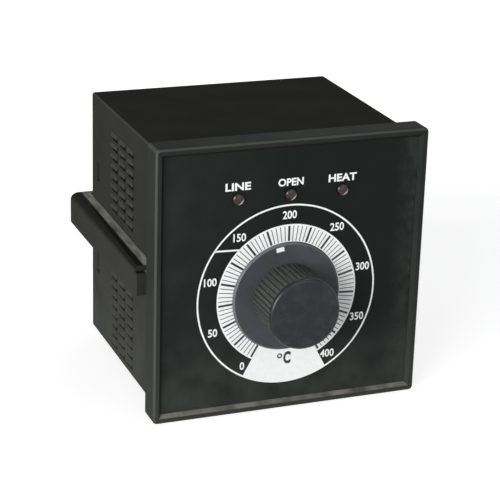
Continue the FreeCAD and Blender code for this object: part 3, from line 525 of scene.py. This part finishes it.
class CaseFinish(bpy.types.Operator):
    """Finish the bezel, housing, rear cover and terminal blocks"""
    bl_idname = "controller.case_finish"
    bl_label = "Case Plastics"

    def execute(self, context):
        worn = colours().worn
        bezel = moulded("bezel_moulding", colours().bezel, rough=0.38, specular=0.001,
                        grain=0.5 * MM, depth=0.006 * MM)
        off_centre = bezel.maths("MAXIMUM", bezel.part_size(bezel.place, "X"),
                                 bezel.part_size(bezel.place, "Z"))
        outer_round_highlight = bezel.both(bezel.off_square(),
                                  bezel.between(off_centre, BEZEL_OUTER_EDGE))
        ledge_dust_and_sheen = bezel.both(bezel.facing("Z", LEDGE_FACING_UP), bezel.along("Z", BOTTOM_LEDGE),
                           bezel.patches(LEDGE_PATCH_SIZE, 3.0, LEDGE_PATCHES))
        # painted shade: the bezel's front-facing faces darkened towards the film's colour
        bezel.overlay(bezel.facing("Y", BEZEL_FRONT), colours().film, FRONT_SHADE_SHARE)
        # painted light: the bezel lighter towards the bottom, as if lit from the floor
        bezel.overlay(bezel.along("Z", BEZEL_LOWER), worn, BEZEL_LOWER_LIGHT_SHARE)
        # painted highlight on the bezel's outer rounded edges
        bezel.overlay(outer_round_highlight, worn)
        # a dusting and a painted highlight on the upward-facing bottom ledge
        bezel.overlay(ledge_dust_and_sheen, colours().dust)
        dress(["front_bezel"], bezel)

        housing = moulded("housing_moulding", colours().housing, rough=0.72, specular=0.0,
                          depth=0.02 * MM)
        # painted light: patches lighter towards the bottom of the housing, as if lit from the
        # floor
        lower_light_patches = housing.both(housing.along("Z", HOUSING_LOWER),
                              housing.patches(HOUSING_LIGHT_PATCH_SIZE, 5.0, HOUSING_LIGHT_PATCHES))
        # painted highlight on the housing's rounded and sloping faces, such as the tops of
        # the slot hoods
        housing.overlay(housing.off_square(), worn, SLOPE_HIGHLIGHT_SHARE)
        housing.overlay(lower_light_patches, worn, HOUSING_LOWER_LIGHT_SHARE)
        dress(["housing"], housing)

        cover = moulded("cover_moulding", toned(colours().housing, 0.9), rough=0.62,
                        specular=0.01)
        # painted highlight on the rear cover's rounded and sloping faces
        cover.overlay(cover.off_square(), worn, COVER_HIGHLIGHT_SHARE)
        dress(["rear_cover"], cover)

        block = moulded("block_moulding", colours().terminal, rough=0.46, specular=0.2,
                        spread=0.15)
        dress(["terminal_block_upper", "terminal_block_lower"], block)
        return {"FINISHED"}


# ---- yoke ------------------------------------------------------------------

YOKE_REAR_PART = (25 * MM, 80 * MM)
YOKE_FACING_UP = (0.97, 0.99)
# the painted highlight on the yoke's top lies along the housing's wall and ends before the
# bridge
STRIP_LENGTH = (79 * MM, 74 * MM)
STRIP_WIDTH = (48.3 * MM, 47.6 * MM)
SPECKLE_SIZE = 2.5 * MM
SPECKLE_STRETCH = (1.0, 0.3, 1.0)
SPECKLE = (0.10, 0.62)
# factors on the yoke's colour: darker over its rear part, and painted shade on its rounded
# shoulders and its top faces
REAR_TONE = 0.6
SHOULDER_SHADE = 0.4
TOP_SHADE = 0.6


class YokeFinish(bpy.types.Operator):
    """Finish the sliding mounting yoke"""
    bl_idname = "controller.yoke_finish"
    bl_label = "Mounting Yoke"

    def execute(self, context):
        colour = colours().yoke
        yoke = moulded("yoke_moulding", colour, rough=0.34, specular=0.004,
                       grain=0.8 * MM, depth=0.008 * MM)
        facing_up = yoke.facing("Z", YOKE_FACING_UP)
        speckle = yoke.patches(SPECKLE_SIZE, 4.0, SPECKLE, yoke.stretched(SPECKLE_STRETCH))
        beside_wall = yoke.between(yoke.part_size(yoke.place, "X"), STRIP_WIDTH)
        sheen_strip = yoke.both(facing_up, beside_wall, yoke.along("Y", STRIP_LENGTH), speckle)
        yoke.overlay(yoke.along("Y", YOKE_REAR_PART), toned(colour, REAR_TONE))
        # painted shade on the yoke's rounded shoulders
        yoke.overlay(yoke.off_square(), toned(colour, SHOULDER_SHADE))
        # painted shade on the yoke's top faces
        yoke.overlay(facing_up, toned(colour, TOP_SHADE))
        # painted highlight: a light speckled band on the yoke's top beside the housing's wall
        yoke.overlay(sheen_strip, colours().rubbed)
        dress(["mounting_yoke"], yoke)
        return {"FINISHED"}


# ---- face film -------------------------------------------------------------

FILM_LIGHT_PATCH_SIZE = 9 * MM
FILM_LIGHT_PATCHES = (0.15, 0.75)
REFLECTION_PATCH_SIZE = 4 * MM
REFLECTION_PATCHES = (0.30, 0.75)
FILM_LOWER = (-14 * MM, -46 * MM)
FILM_LEFT = (0.0, -46 * MM)
FILM_RIGHT_EDGE = (37 * MM, 45 * MM)
FILM_LOWER_LIGHT_SHARE = 0.55
FILM_LEFT_LIGHT_SHARE = 0.20
RIGHT_REFLECTION_SHARE = 0.50


class FilmFinish(bpy.types.Operator):
    """Finish the ground of the printed film"""
    bl_idname = "controller.film_finish"
    bl_label = "Face Film"

    def execute(self, context):
        worn = colours().worn
        film = moulded("film_ground", colours().film, rough=0.40, specular=0.08,
                       grain=0.25 * MM, depth=0.005 * MM)
        film_light_patches = film.patches(FILM_LIGHT_PATCH_SIZE, 5.0, FILM_LIGHT_PATCHES)
        right_reflection_patches = film.patches(REFLECTION_PATCH_SIZE, 5.0, REFLECTION_PATCHES)
        # painted light: the film lighter in patches towards the bottom, near the lit ledge
        film.overlay(film.both(film.along("Z", FILM_LOWER), film_light_patches), worn, FILM_LOWER_LIGHT_SHARE)
        # painted light: the film lighter in patches towards the left
        film.overlay(film.both(film.along("X", FILM_LEFT), film_light_patches), worn, FILM_LEFT_LIGHT_SHARE)
        # painted reflection: lighter patches along the film's right edge
        film.overlay(film.both(film.along("X", FILM_RIGHT_EDGE), right_reflection_patches), worn,
                     RIGHT_REFLECTION_SHARE)
        dress(["face_film"], film)
        return {"FINISHED"}


# ---- print -----------------------------------------------------------------

MARK_STEP = 5
LONG_MARK_STEP = 25
NUMBER_STEP = 50
# degrees clockwise and distance outwards that clear a number of the sector or the bar
NUMBER_NUDGES = {0: (2.5, 0.3 * MM), 150: (-0.9, -0.2 * MM), 400: (-4.0, -0.25 * MM)}
NUMBER_BOLD = 0.09
NUMBER_STRETCH = 0.88
RING_STEPS = 150
SECTOR_STEPS = 30
# places of the unit mark are distances off the scale's centre
UNIT_LETTER_PLACE = (0.9 * MM, -23.1 * MM)
UNIT_LETTER_HEIGHT = 4.6 * MM
UNIT_LETTER_BOLD = 0.20
UNIT_LETTER_STRETCH = 0.66
DEGREE_PLACE = (-1.8 * MM, -22.2 * MM)
DEGREE_RADII = (0.45 * MM, 0.95 * MM)


def scale_angle(value):
    """Clockwise angle from the top at which the dial points to a value."""
    settings = dial()
    return settings.sweep * (2.0 * value / settings.top_value - 1.0)


def scale_mark(value, width):
    """Mark across the white ring at a value."""
    settings = dial()
    angle = scale_angle(value)
    middle = (settings.tick_inner + settings.tick_outer) / 2
    return bar(middle * math.sin(angle), middle * math.cos(angle),
               settings.tick_outer - settings.tick_inner, width, math.pi / 2 - angle,
               OVERPRINT_LIFT)


def scale_number(value):
    """Number outside the white ring, upright at its value."""
    settings = dial()
    turn, reach = NUMBER_NUDGES.get(value, (0.0, 0.0))
    angle = scale_angle(value) + math.radians(turn)
    radius = settings.number_radius + reach
    return written(str(value), radius * math.sin(angle), radius * math.cos(angle),
                   settings.number_height, NUMBER_BOLD, NUMBER_STRETCH)


class ScalePrint(bpy.types.Operator):
    """Print the scale: ring, marks, end sector, circle, numbers and unit"""
    bl_idname = "controller.scale_print"
    bl_label = "Dial Scale"

    def execute(self, context):
        settings = dial()
        white = plain_print("white_ink", colours().print_white, rough=0.42).material
        black = plain_print("black_ink", colours().print_black, rough=0.40).material
        edge = settings.sweep + settings.sector_gap
        circle_inner = settings.circle_radius - settings.circle_width / 2
        circle_outer = settings.circle_radius + settings.circle_width / 2
        ground = merge((
            band(settings.ring_inner, settings.ring_outer, -edge, edge, RING_STEPS),
            band(circle_inner, circle_outer, -edge, edge, RING_STEPS),
            band(settings.ring_inner, circle_outer, edge, 2 * math.pi - edge, SECTOR_STEPS)))
        add_mesh("scale_ground", *ground, "case", white)
        marked = range(0, settings.top_value + 1, MARK_STEP)
        long_marks = merge(scale_mark(value, settings.major_width)
                           for value in marked if value % LONG_MARK_STEP == 0)
        add_mesh("scale_long_marks", *long_marks, "case", black)
        short_marks = merge(scale_mark(value, settings.minor_width)
                            for value in marked if value % LONG_MARK_STEP != 0)
        add_mesh("scale_short_marks", *short_marks, "case", black)
        numbers = merge(scale_number(value)
                        for value in range(0, settings.top_value + 1, NUMBER_STEP))
        add_mesh("scale_numbers", *numbers, "case", white)
        letter = written("C", *UNIT_LETTER_PLACE, UNIT_LETTER_HEIGHT, UNIT_LETTER_BOLD,
                         UNIT_LETTER_STRETCH, OVERPRINT_LIFT)
        unit_mark = merge((letter, small_ring(*DEGREE_PLACE, *DEGREE_RADII)))
        add_mesh("unit_mark", *unit_mark, "case", black)
        return {"FINISHED"}


# word over each lamp and how much wider than the plain letters it is
LAMP_WORDS = (("LINE", 1.24), ("OPEN", 1.00), ("HEAT", 1.14))
WORD_RISE = 4.2 * MM
WORD_BOLD = 0.13
# middle of the short bar, across and up from the frame's axes
BAR_PLACE = (-22.6 * MM, 11.0 * MM)
BAR_LENGTH = 8.4 * MM
BAR_WIDTH = 0.62 * MM
BAR_TURN = math.radians(-2.0)
TERMINALS = 6
REAR_NUMBER_GAP = 3.0 * MM
REAR_NUMBER_HEIGHT = 2.4 * MM
REAR_NUMBER_BOLD = 0.10


def terminal_number(number, across, up):
    """Number on the back of the rear cover, read from behind."""
    outline, faces = letter_mesh(str(number), REAR_NUMBER_HEIGHT, REAR_NUMBER_BOLD)
    points = [Vector((across - x, COVER_REAR_Y + PRINT_LIFT, up + y)) for x, y in outline]
    return points, faces


class WordPrint(bpy.types.Operator):
    """Print the words over the lamps, the short bar and the terminal numbers"""
    bl_idname = "controller.word_print"
    bl_label = "Face Words"

    def execute(self, context):
        white = plain_print("white_word_ink", colours().print_white, rough=0.42).material
        for node, (text, stretch) in zip(LAMP_NODES, LAMP_WORDS):
            lamp = centre_of(node)
            word = written(text, lamp.x - SCALE.x, lamp.z + WORD_RISE - SCALE.z,
                           dial().label_height, WORD_BOLD, stretch)
            add_mesh("word_over_" + node, *word, "case", white)
        across, up = BAR_PLACE
        short_bar = bar(across - SCALE.x, up - SCALE.z, BAR_LENGTH, BAR_WIDTH, BAR_TURN)
        add_mesh("short_bar", *short_bar, "case", white)
        numbers = []
        for row, block in enumerate(("terminal_block_upper", "terminal_block_lower")):
            low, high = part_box(block)
            up = low[2] - REAR_NUMBER_GAP if row == 0 else high[2] + REAR_NUMBER_GAP
            pitch = (high[0] - low[0]) / TERMINALS
            for step in range(TERMINALS):
                numbers.append(terminal_number(row * TERMINALS + step + 1,
                                               high[0] - (step + 0.5) * pitch, up))
        add_mesh("terminal_numbers", *merge(numbers), "case", white)
        return {"FINISHED"}


# ---- lamps -----------------------------------------------------------------

LENS_CLOUDS = 1.5 * MM
LENS_RIPPLES = 0.6 * MM
LENS_RIPPLE_DEPTH = 0.004 * MM
# painted glint: a pale crescent of light at the lower right of each lens, by right less up in
# shares of its box
CRESCENT = (0.28, 0.38)
CRESCENT_GLINT_COLOUR = (0.80, 0.76, 0.74)


class LampFinish(bpy.types.Operator):
    """Finish the three unlit lamps"""
    bl_idname = "controller.lamp_finish"
    bl_label = "Lamps"

    def execute(self, context):
        lens = Finish("lamp_lens")
        lens.set(rough=0.08, specular=0.40)
        lens.vary_colour(lens.noise(LENS_CLOUDS), toned(colours().lamp, 0.8),
                         toned(colours().lamp, 1.2))
        slant = lens.maths("SUBTRACT", lens.part_of(lens.share_of_box, "X"),
                           lens.part_of(lens.share_of_box, "Z"))
        # painted glint of light in each lens
        lens.overlay(lens.between(slant, CRESCENT), CRESCENT_GLINT_COLOUR)
        lens.bump(lens.noise(LENS_RIPPLES, 1.0), LENS_RIPPLE_DEPTH)
        dress(LAMP_NODES, lens)
        return {"FINISHED"}


# ---- knob ------------------------------------------------------------------

SKIRT_THICKNESS = 1.0 * MM
# distances ahead of the skirt's front over which the drum's colour sets in
DRUM_START = (0.2 * MM, 0.3 * MM)
# distances inside the skirt's edge over which the painted highlight along its edge sets in
RIM_START = (1.2 * MM, 0.9 * MM)
RIM_TURNED = (0.98, 0.90)
STAIN_SIZE = 5 * MM
STAINS = (0.42, 0.62)
DRUM_WEAR_SIZE = 0.7 * MM
DRUM_WEAR = (0.45, 0.70)
SMUDGE_SIZE = 3 * MM
SMUDGES = (0.45, 0.75)
STAIN_SHARE = 0.40
DRUM_WEAR_SHARE = 0.35
RIM_HIGHLIGHT_SHARE = 0.70
SMUDGE_SHARE = 0.20
# the painted pointer lies in its recess, off the top of the knob as it stands at rest
POINTER_ANGLE = math.radians(-9.8)
POINTER_RADIUS = 17.4 * MM
POINTER_WIDTH = 2.84 * MM
POINTER_LENGTH = 1.54 * MM
PAINT_DEPTH = 0.06 * MM


def knob_finish(skirt_front, skirt_radius):
    """Satin skirt with a painted highlight along its edge, and a duller fluted drum."""
    knob = moulded("knob_moulding", colours().skirt, rough=0.28, specular=0.12,
                   grain=0.6 * MM, depth=0.004 * MM)
    # nodes count places from the joint that the knob turns on
    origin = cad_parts["dial_knob"].matrix_world.translation
    on_drum = knob.along("Y", [skirt_front - origin.y - ahead for ahead in DRUM_START])
    across = knob.maths("SUBTRACT", knob.part_of(knob.place, "X"), KNOB.x - origin.x)
    up = knob.maths("SUBTRACT", knob.part_of(knob.place, "Z"), KNOB.z - origin.z)
    radius = knob.maths("SQRT", knob.maths("ADD", knob.maths("MULTIPLY", across, across),
                                           knob.maths("MULTIPLY", up, up)))
    by_the_edge = knob.between(radius, [skirt_radius - inside for inside in RIM_START])
    turned = knob.between(knob.part_size(knob.normal, "Y"), RIM_TURNED)
    knob.overlay(knob.patches(STAIN_SIZE, 4.0, STAINS), colours().stain, STAIN_SHARE)
    knob.overlay(on_drum, colours().drum)
    knob.overlay(knob.both(on_drum, knob.patches(DRUM_WEAR_SIZE, 3.0, DRUM_WEAR)),
                 colours().rim, DRUM_WEAR_SHARE)
    # painted highlight along the skirt's chamfered edge
    knob.overlay(knob.both(by_the_edge, turned), colours().rim, RIM_HIGHLIGHT_SHARE)
    return knob


class KnobFinish(bpy.types.Operator):
    """Finish the knob, its cap and its painted pointer"""
    bl_idname = "controller.knob_finish"
    bl_label = "Dial Knob"

    def execute(self, context):
        low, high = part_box("dial_knob")
        skirt_front = high[1] - SKIRT_THICKNESS
        dress(["dial_knob"], knob_finish(skirt_front, (high[0] - low[0]) / 2))
        cap = moulded("cap_moulding", colours().cap, rough=0.24, specular=0.33,
                      grain=0.3 * MM, depth=0.004 * MM)
        cap.overlay(cap.patches(SMUDGE_SIZE, 4.0, SMUDGES), colours().worn, SMUDGE_SHARE)
        dress(["knob_cap"], cap)
        paint = plain_print("pointer_paint", colours().print_white, rough=0.45).material
        along = Vector((math.sin(POINTER_ANGLE), 0.0, math.cos(POINTER_ANGLE)))
        side = Vector((along.z, 0.0, -along.x))
        middle = Vector((KNOB.x, skirt_front + PAINT_DEPTH, KNOB.z)) + along * POINTER_RADIUS
        points = [middle + side * (first * POINTER_WIDTH / 2)
                  + along * (second * POINTER_LENGTH / 2) for first, second in CORNERS]
        add_mesh("pointer_paint", points, QUAD, "knob", paint)
        return {"FINISHED"}


# ---- metal and inner parts -------------------------------------------------

STEEL = (0.62, 0.62, 0.60)
TIN = (0.70, 0.70, 0.69)
BRASS = (0.66, 0.48, 0.20)
CORE_STEEL = (0.20, 0.20, 0.21)
SLEEVE = (0.03, 0.05, 0.14)
TRACK = (0.030, 0.110, 0.045)
LAMINATE = (0.012, 0.060, 0.026)
RESIN = (0.012, 0.012, 0.013)
NYLON = (0.62, 0.60, 0.52)
RELAY = (0.35, 0.10, 0.02)
WIRE_SHADE = (0.10, 0.035, 0.012)
WIRE_LIGHT = (0.42, 0.17, 0.06)
# stretches that lay fine marks round screws and turned parts, and across the laminations
SCREW_MARKS = (1.0, 6.0, 1.0)
TURNED_MARKS = (1.0, 8.0, 1.0)
LAMINATION_MARKS = (40.0, 1.0, 1.0)
LAMINATION_GRAIN = 6 * MM
# cells and waves per metre
TRACK_CELLS = 240.0
TRACK_EDGE = (0.08, 0.10)
TRACK_DEPTH = 0.02 * MM
WIRE_WAVES = 900.0
WIRE_DEPTH = 0.08 * MM


class MetalFinish(bpy.types.Operator):
    """Finish screws, washers, contacts and the potentiometer's metal"""
    bl_idname = "controller.metal_finish"
    bl_label = "Metal Parts"

    def execute(self, context):
        dress(["terminal_screws", "terminal_washers", "board_screws", "pot_washer",
               "pot_body", "pot_shaft"],
              metal("plated_steel", STEEL, rough=0.30, stretch=SCREW_MARKS))
        dress(["lamp_leads", "pot_tags"], metal("tinned_wire", TIN, rough=0.34))
        dress(["terminal_contacts", "pot_bushing", "pot_nut", "knob_collet", "collet_nut"],
              metal("turned_brass", BRASS, rough=0.28, stretch=TURNED_MARKS))
        dress(["transformer_core"],
              metal("core_laminations", CORE_STEEL, rough=0.46, stretch=LAMINATION_MARKS,
                    grain=LAMINATION_GRAIN))
        can = metal("capacitor_sleeve", SLEEVE, rough=0.35)
        can.set(metal=0.0)
        dress(["capacitors"], can)
        return {"FINISHED"}


class BoardFinish(bpy.types.Operator):
    """Finish the circuit boards and the parts on them"""
    bl_idname = "controller.board_finish"
    bl_label = "Circuit Boards"

    def execute(self, context):
        board = Finish("board_laminate")
        cells = board.add("ShaderNodeTexVoronoi", feature="DISTANCE_TO_EDGE")
        cells.inputs["Scale"].default_value = TRACK_CELLS
        board.join(board.place, cells.inputs["Vector"])
        board.vary_colour(cells.outputs["Distance"], TRACK, LAMINATE, TRACK_EDGE)
        board.vary_rough(board.noise(4 * MM), 0.30, 0.42)
        board.bump(cells.outputs["Distance"], TRACK_DEPTH)
        dress(["front_board", "power_board", "main_board", "rear_board"], board)
        dress(["board_headers", "control_chips"], moulded("black_resin", RESIN, rough=0.5))
        dress(["transformer_bobbin"], moulded("bobbin_nylon", NYLON, rough=0.5))
        dress(["output_relay"], moulded("relay_case", RELAY, rough=0.25))
        wire = Finish("wound_wire")
        wire.set(rough=0.35, metal=0.7)
        turns = wire.add("ShaderNodeTexWave", bands_direction="X")
        turns.inputs["Scale"].default_value = WIRE_WAVES
        turns.inputs["Distortion"].default_value = 0.6
        wire.join(wire.place, turns.inputs["Vector"])
        wire.vary_colour(turns.outputs["Fac"], WIRE_SHADE, WIRE_LIGHT)
        wire.bump(turns.outputs["Fac"], WIRE_DEPTH)
        dress(["transformer_coil"], wire)
        return {"FINISHED"}


# ---- studio ----------------------------------------------------------------

WORLD_LIGHT = 0.10
WORLD_TINT = (0.95, 0.98, 1.0)
WHITE = (1.0, 1.0, 1.0)
FLOOR_COLOUR = (0.80, 0.80, 0.80)
FLOOR_REACH = 3.0
# the floor's own glow grows to full white over this run of metres from the middle
FLOOR_GLOW = 0.68
FLOOR_GLOW_RUN = (0.2, 1.0)
# name, place in metres, width in metres, watts
SOFT_LAMPS = (("key_lamp", (-0.95, -0.72, 0.18), 0.90, 21.0),
              ("fill_lamp", (0.30, -1.20, 0.45), 0.90, 2.5),
              ("top_lamp", (0.43, 0.00, 1.10), 0.25, 1.2),
              ("back_lamp", (0.70, 1.00, 0.12), 0.80, 7.0))
CAMERA_PLACE = Vector((-215.53, -518.29, 213.32)) * MM
CAMERA_TURN = math.radians(-21.4745)
CAMERA_RISE = math.radians(20.2757)
CAMERA_ROLL = math.radians(1.7374)
CAMERA_LENS = 127.77
SENSOR_WIDTH = 36.0
CLIP_START = 0.01


def seen_directly(tree):
    """1 where a ray comes from the camera, a reflection or a clear piece, else 0."""
    path = tree.nodes.new("ShaderNodeLightPath")
    total = path.outputs["Is Camera Ray"]
    for kind in ("Is Glossy Ray", "Is Transmission Ray"):
        add = tree.nodes.new("ShaderNodeMath")
        add.operation = "MAXIMUM"
        tree.links.new(total, add.inputs[0])
        tree.links.new(path.outputs[kind], add.inputs[1])
        total = add.outputs[0]
    return total


def floor_material():
    """Pale floor that looks white to the camera and keeps a soft shadow."""
    finish = Finish("floor_paper")
    finish.set(colour=FLOOR_COLOUR, rough=0.9, specular=0.0)
    finish.shader.inputs["Emission Color"].default_value = (*WHITE, 1.0)
    reach = finish.add("ShaderNodeVectorMath", operation="LENGTH")
    finish.join(finish.place, reach.inputs[0])
    far = finish.between(reach.outputs["Value"], FLOOR_GLOW_RUN)
    glow = finish.maths("ADD", finish.maths("MULTIPLY", far, 1.0 - FLOOR_GLOW), FLOOR_GLOW)
    strength = finish.maths("MULTIPLY", seen_directly(finish.tree), glow)
    finish.join(strength, finish.shader.inputs["Emission Strength"])
    return finish.material


def lay_floor(scene):
    """Flat floor that the controller stands on."""
    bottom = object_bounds()[0][2]
    mesh = bpy.data.meshes.new("floor")
    mesh.from_pydata([(first * FLOOR_REACH, second * FLOOR_REACH, bottom)
                      for first, second in CORNERS], [], QUAD)
    floor = bpy.data.objects.new("floor", mesh)
    scene.collection.objects.link(floor)
    floor.data.materials.append(floor_material())
    floor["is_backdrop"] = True


def light_world(scene):
    """White surround to the eye, faint cool light on the object."""
    world = bpy.data.worlds.new("studio")
    scene.world = world
    world.use_nodes = True
    tree = world.node_tree
    tree.nodes.clear()
    output = tree.nodes.new("ShaderNodeOutputWorld")
    mix = tree.nodes.new("ShaderNodeMixShader")
    tree.links.new(seen_directly(tree), mix.inputs["Fac"])
    for index, colour, strength in ((1, WORLD_TINT, WORLD_LIGHT), (2, WHITE, 1.0)):
        background = tree.nodes.new("ShaderNodeBackground")
        background.inputs["Color"].default_value = (*colour, 1.0)
        background.inputs["Strength"].default_value = strength
        tree.links.new(background.outputs[0], mix.inputs[index])
    tree.links.new(mix.outputs[0], output.inputs["Surface"])


def soft_lamp(scene, name, place, width, power):
    """Square soft lamp aimed at the object."""
    data = bpy.data.lights.new(name, "AREA")
    data.shape = "SQUARE"
    data.size = width
    data.energy = power
    lamp = bpy.data.objects.new(name, data)
    scene.collection.objects.link(lamp)
    lamp.location = place
    lamp.rotation_euler = (-Vector(place)).to_track_quat("-Z", "Y").to_euler()


def place_camera(scene):
    """Camera in front, to the left and above."""
    data = bpy.data.cameras.new("camera")
    data.sensor_width = SENSOR_WIDTH
    data.lens = CAMERA_LENS
    data.clip_start = CLIP_START
    camera = bpy.data.objects.new("camera", data)
    scene.collection.objects.link(camera)
    back = Vector((math.sin(CAMERA_TURN) * math.cos(CAMERA_RISE),
                   -math.cos(CAMERA_TURN) * math.cos(CAMERA_RISE), math.sin(CAMERA_RISE)))
    right = Vector((0, 0, 1)).cross(back).normalized()
    up = back.cross(right)
    across = right * math.cos(CAMERA_ROLL) + up * math.sin(CAMERA_ROLL)
    upward = up * math.cos(CAMERA_ROLL) - right * math.sin(CAMERA_ROLL)
    turn = Matrix((across, upward, back)).transposed().to_4x4()
    camera.matrix_world = Matrix.Translation(CAMERA_PLACE) @ turn
    scene.camera = camera


class StudioStage(bpy.types.Operator):
    """Pale floor, soft lamps and the camera"""
    bl_idname = "controller.studio_stage"
    bl_label = "Studio"

    def execute(self, context):
        scene = context.scene
        scene.view_settings.view_transform = "Standard"
        lay_floor(scene)
        light_world(scene)
        for lamp in SOFT_LAMPS:
            soft_lamp(scene, *lamp)
        place_camera(scene)
        return {"FINISHED"}


# ---- add-on ----------------------------------------------------------------

class ControllerPanel(bpy.types.Panel):
    """Lists the controller's steps and settings"""
    bl_idname = "VIEW3D_PT_controller"
    bl_label = "Temperature Controller"
    bl_space_type = "VIEW_3D"
    bl_region_type = "UI"
    bl_category = "Controller"

    def draw(self, context):
        layout = self.layout
        for operator in STEPS:
            layout.operator(operator.bl_idname)
        for group in (context.scene.controller_colours, context.scene.controller_dial):
            box = layout.box()
            for name in group.__annotations__:
                box.prop(group, name)


STEPS = (CaseFinish, YokeFinish, FilmFinish, ScalePrint, WordPrint, LampFinish, KnobFinish,
         MetalFinish, BoardFinish, StudioStage)
CLASSES = (ControllerColours, DialSizes) + STEPS + (ControllerPanel,)


def register():
    for item in CLASSES:
        bpy.utils.register_class(item)
    bpy.types.Scene.controller_colours = bpy.props.PointerProperty(type=ControllerColours)
    bpy.types.Scene.controller_dial = bpy.props.PointerProperty(type=DialSizes)


def unregister():
    del bpy.types.Scene.controller_dial
    del bpy.types.Scene.controller_colours
    for item in reversed(CLASSES):
        bpy.utils.unregister_class(item)


def main():
    register()
    for operator in STEPS:
        group, name = operator.bl_idname.split(".")
        getattr(getattr(bpy.ops, group), name)()


if __name__ == "__main__":
    main()
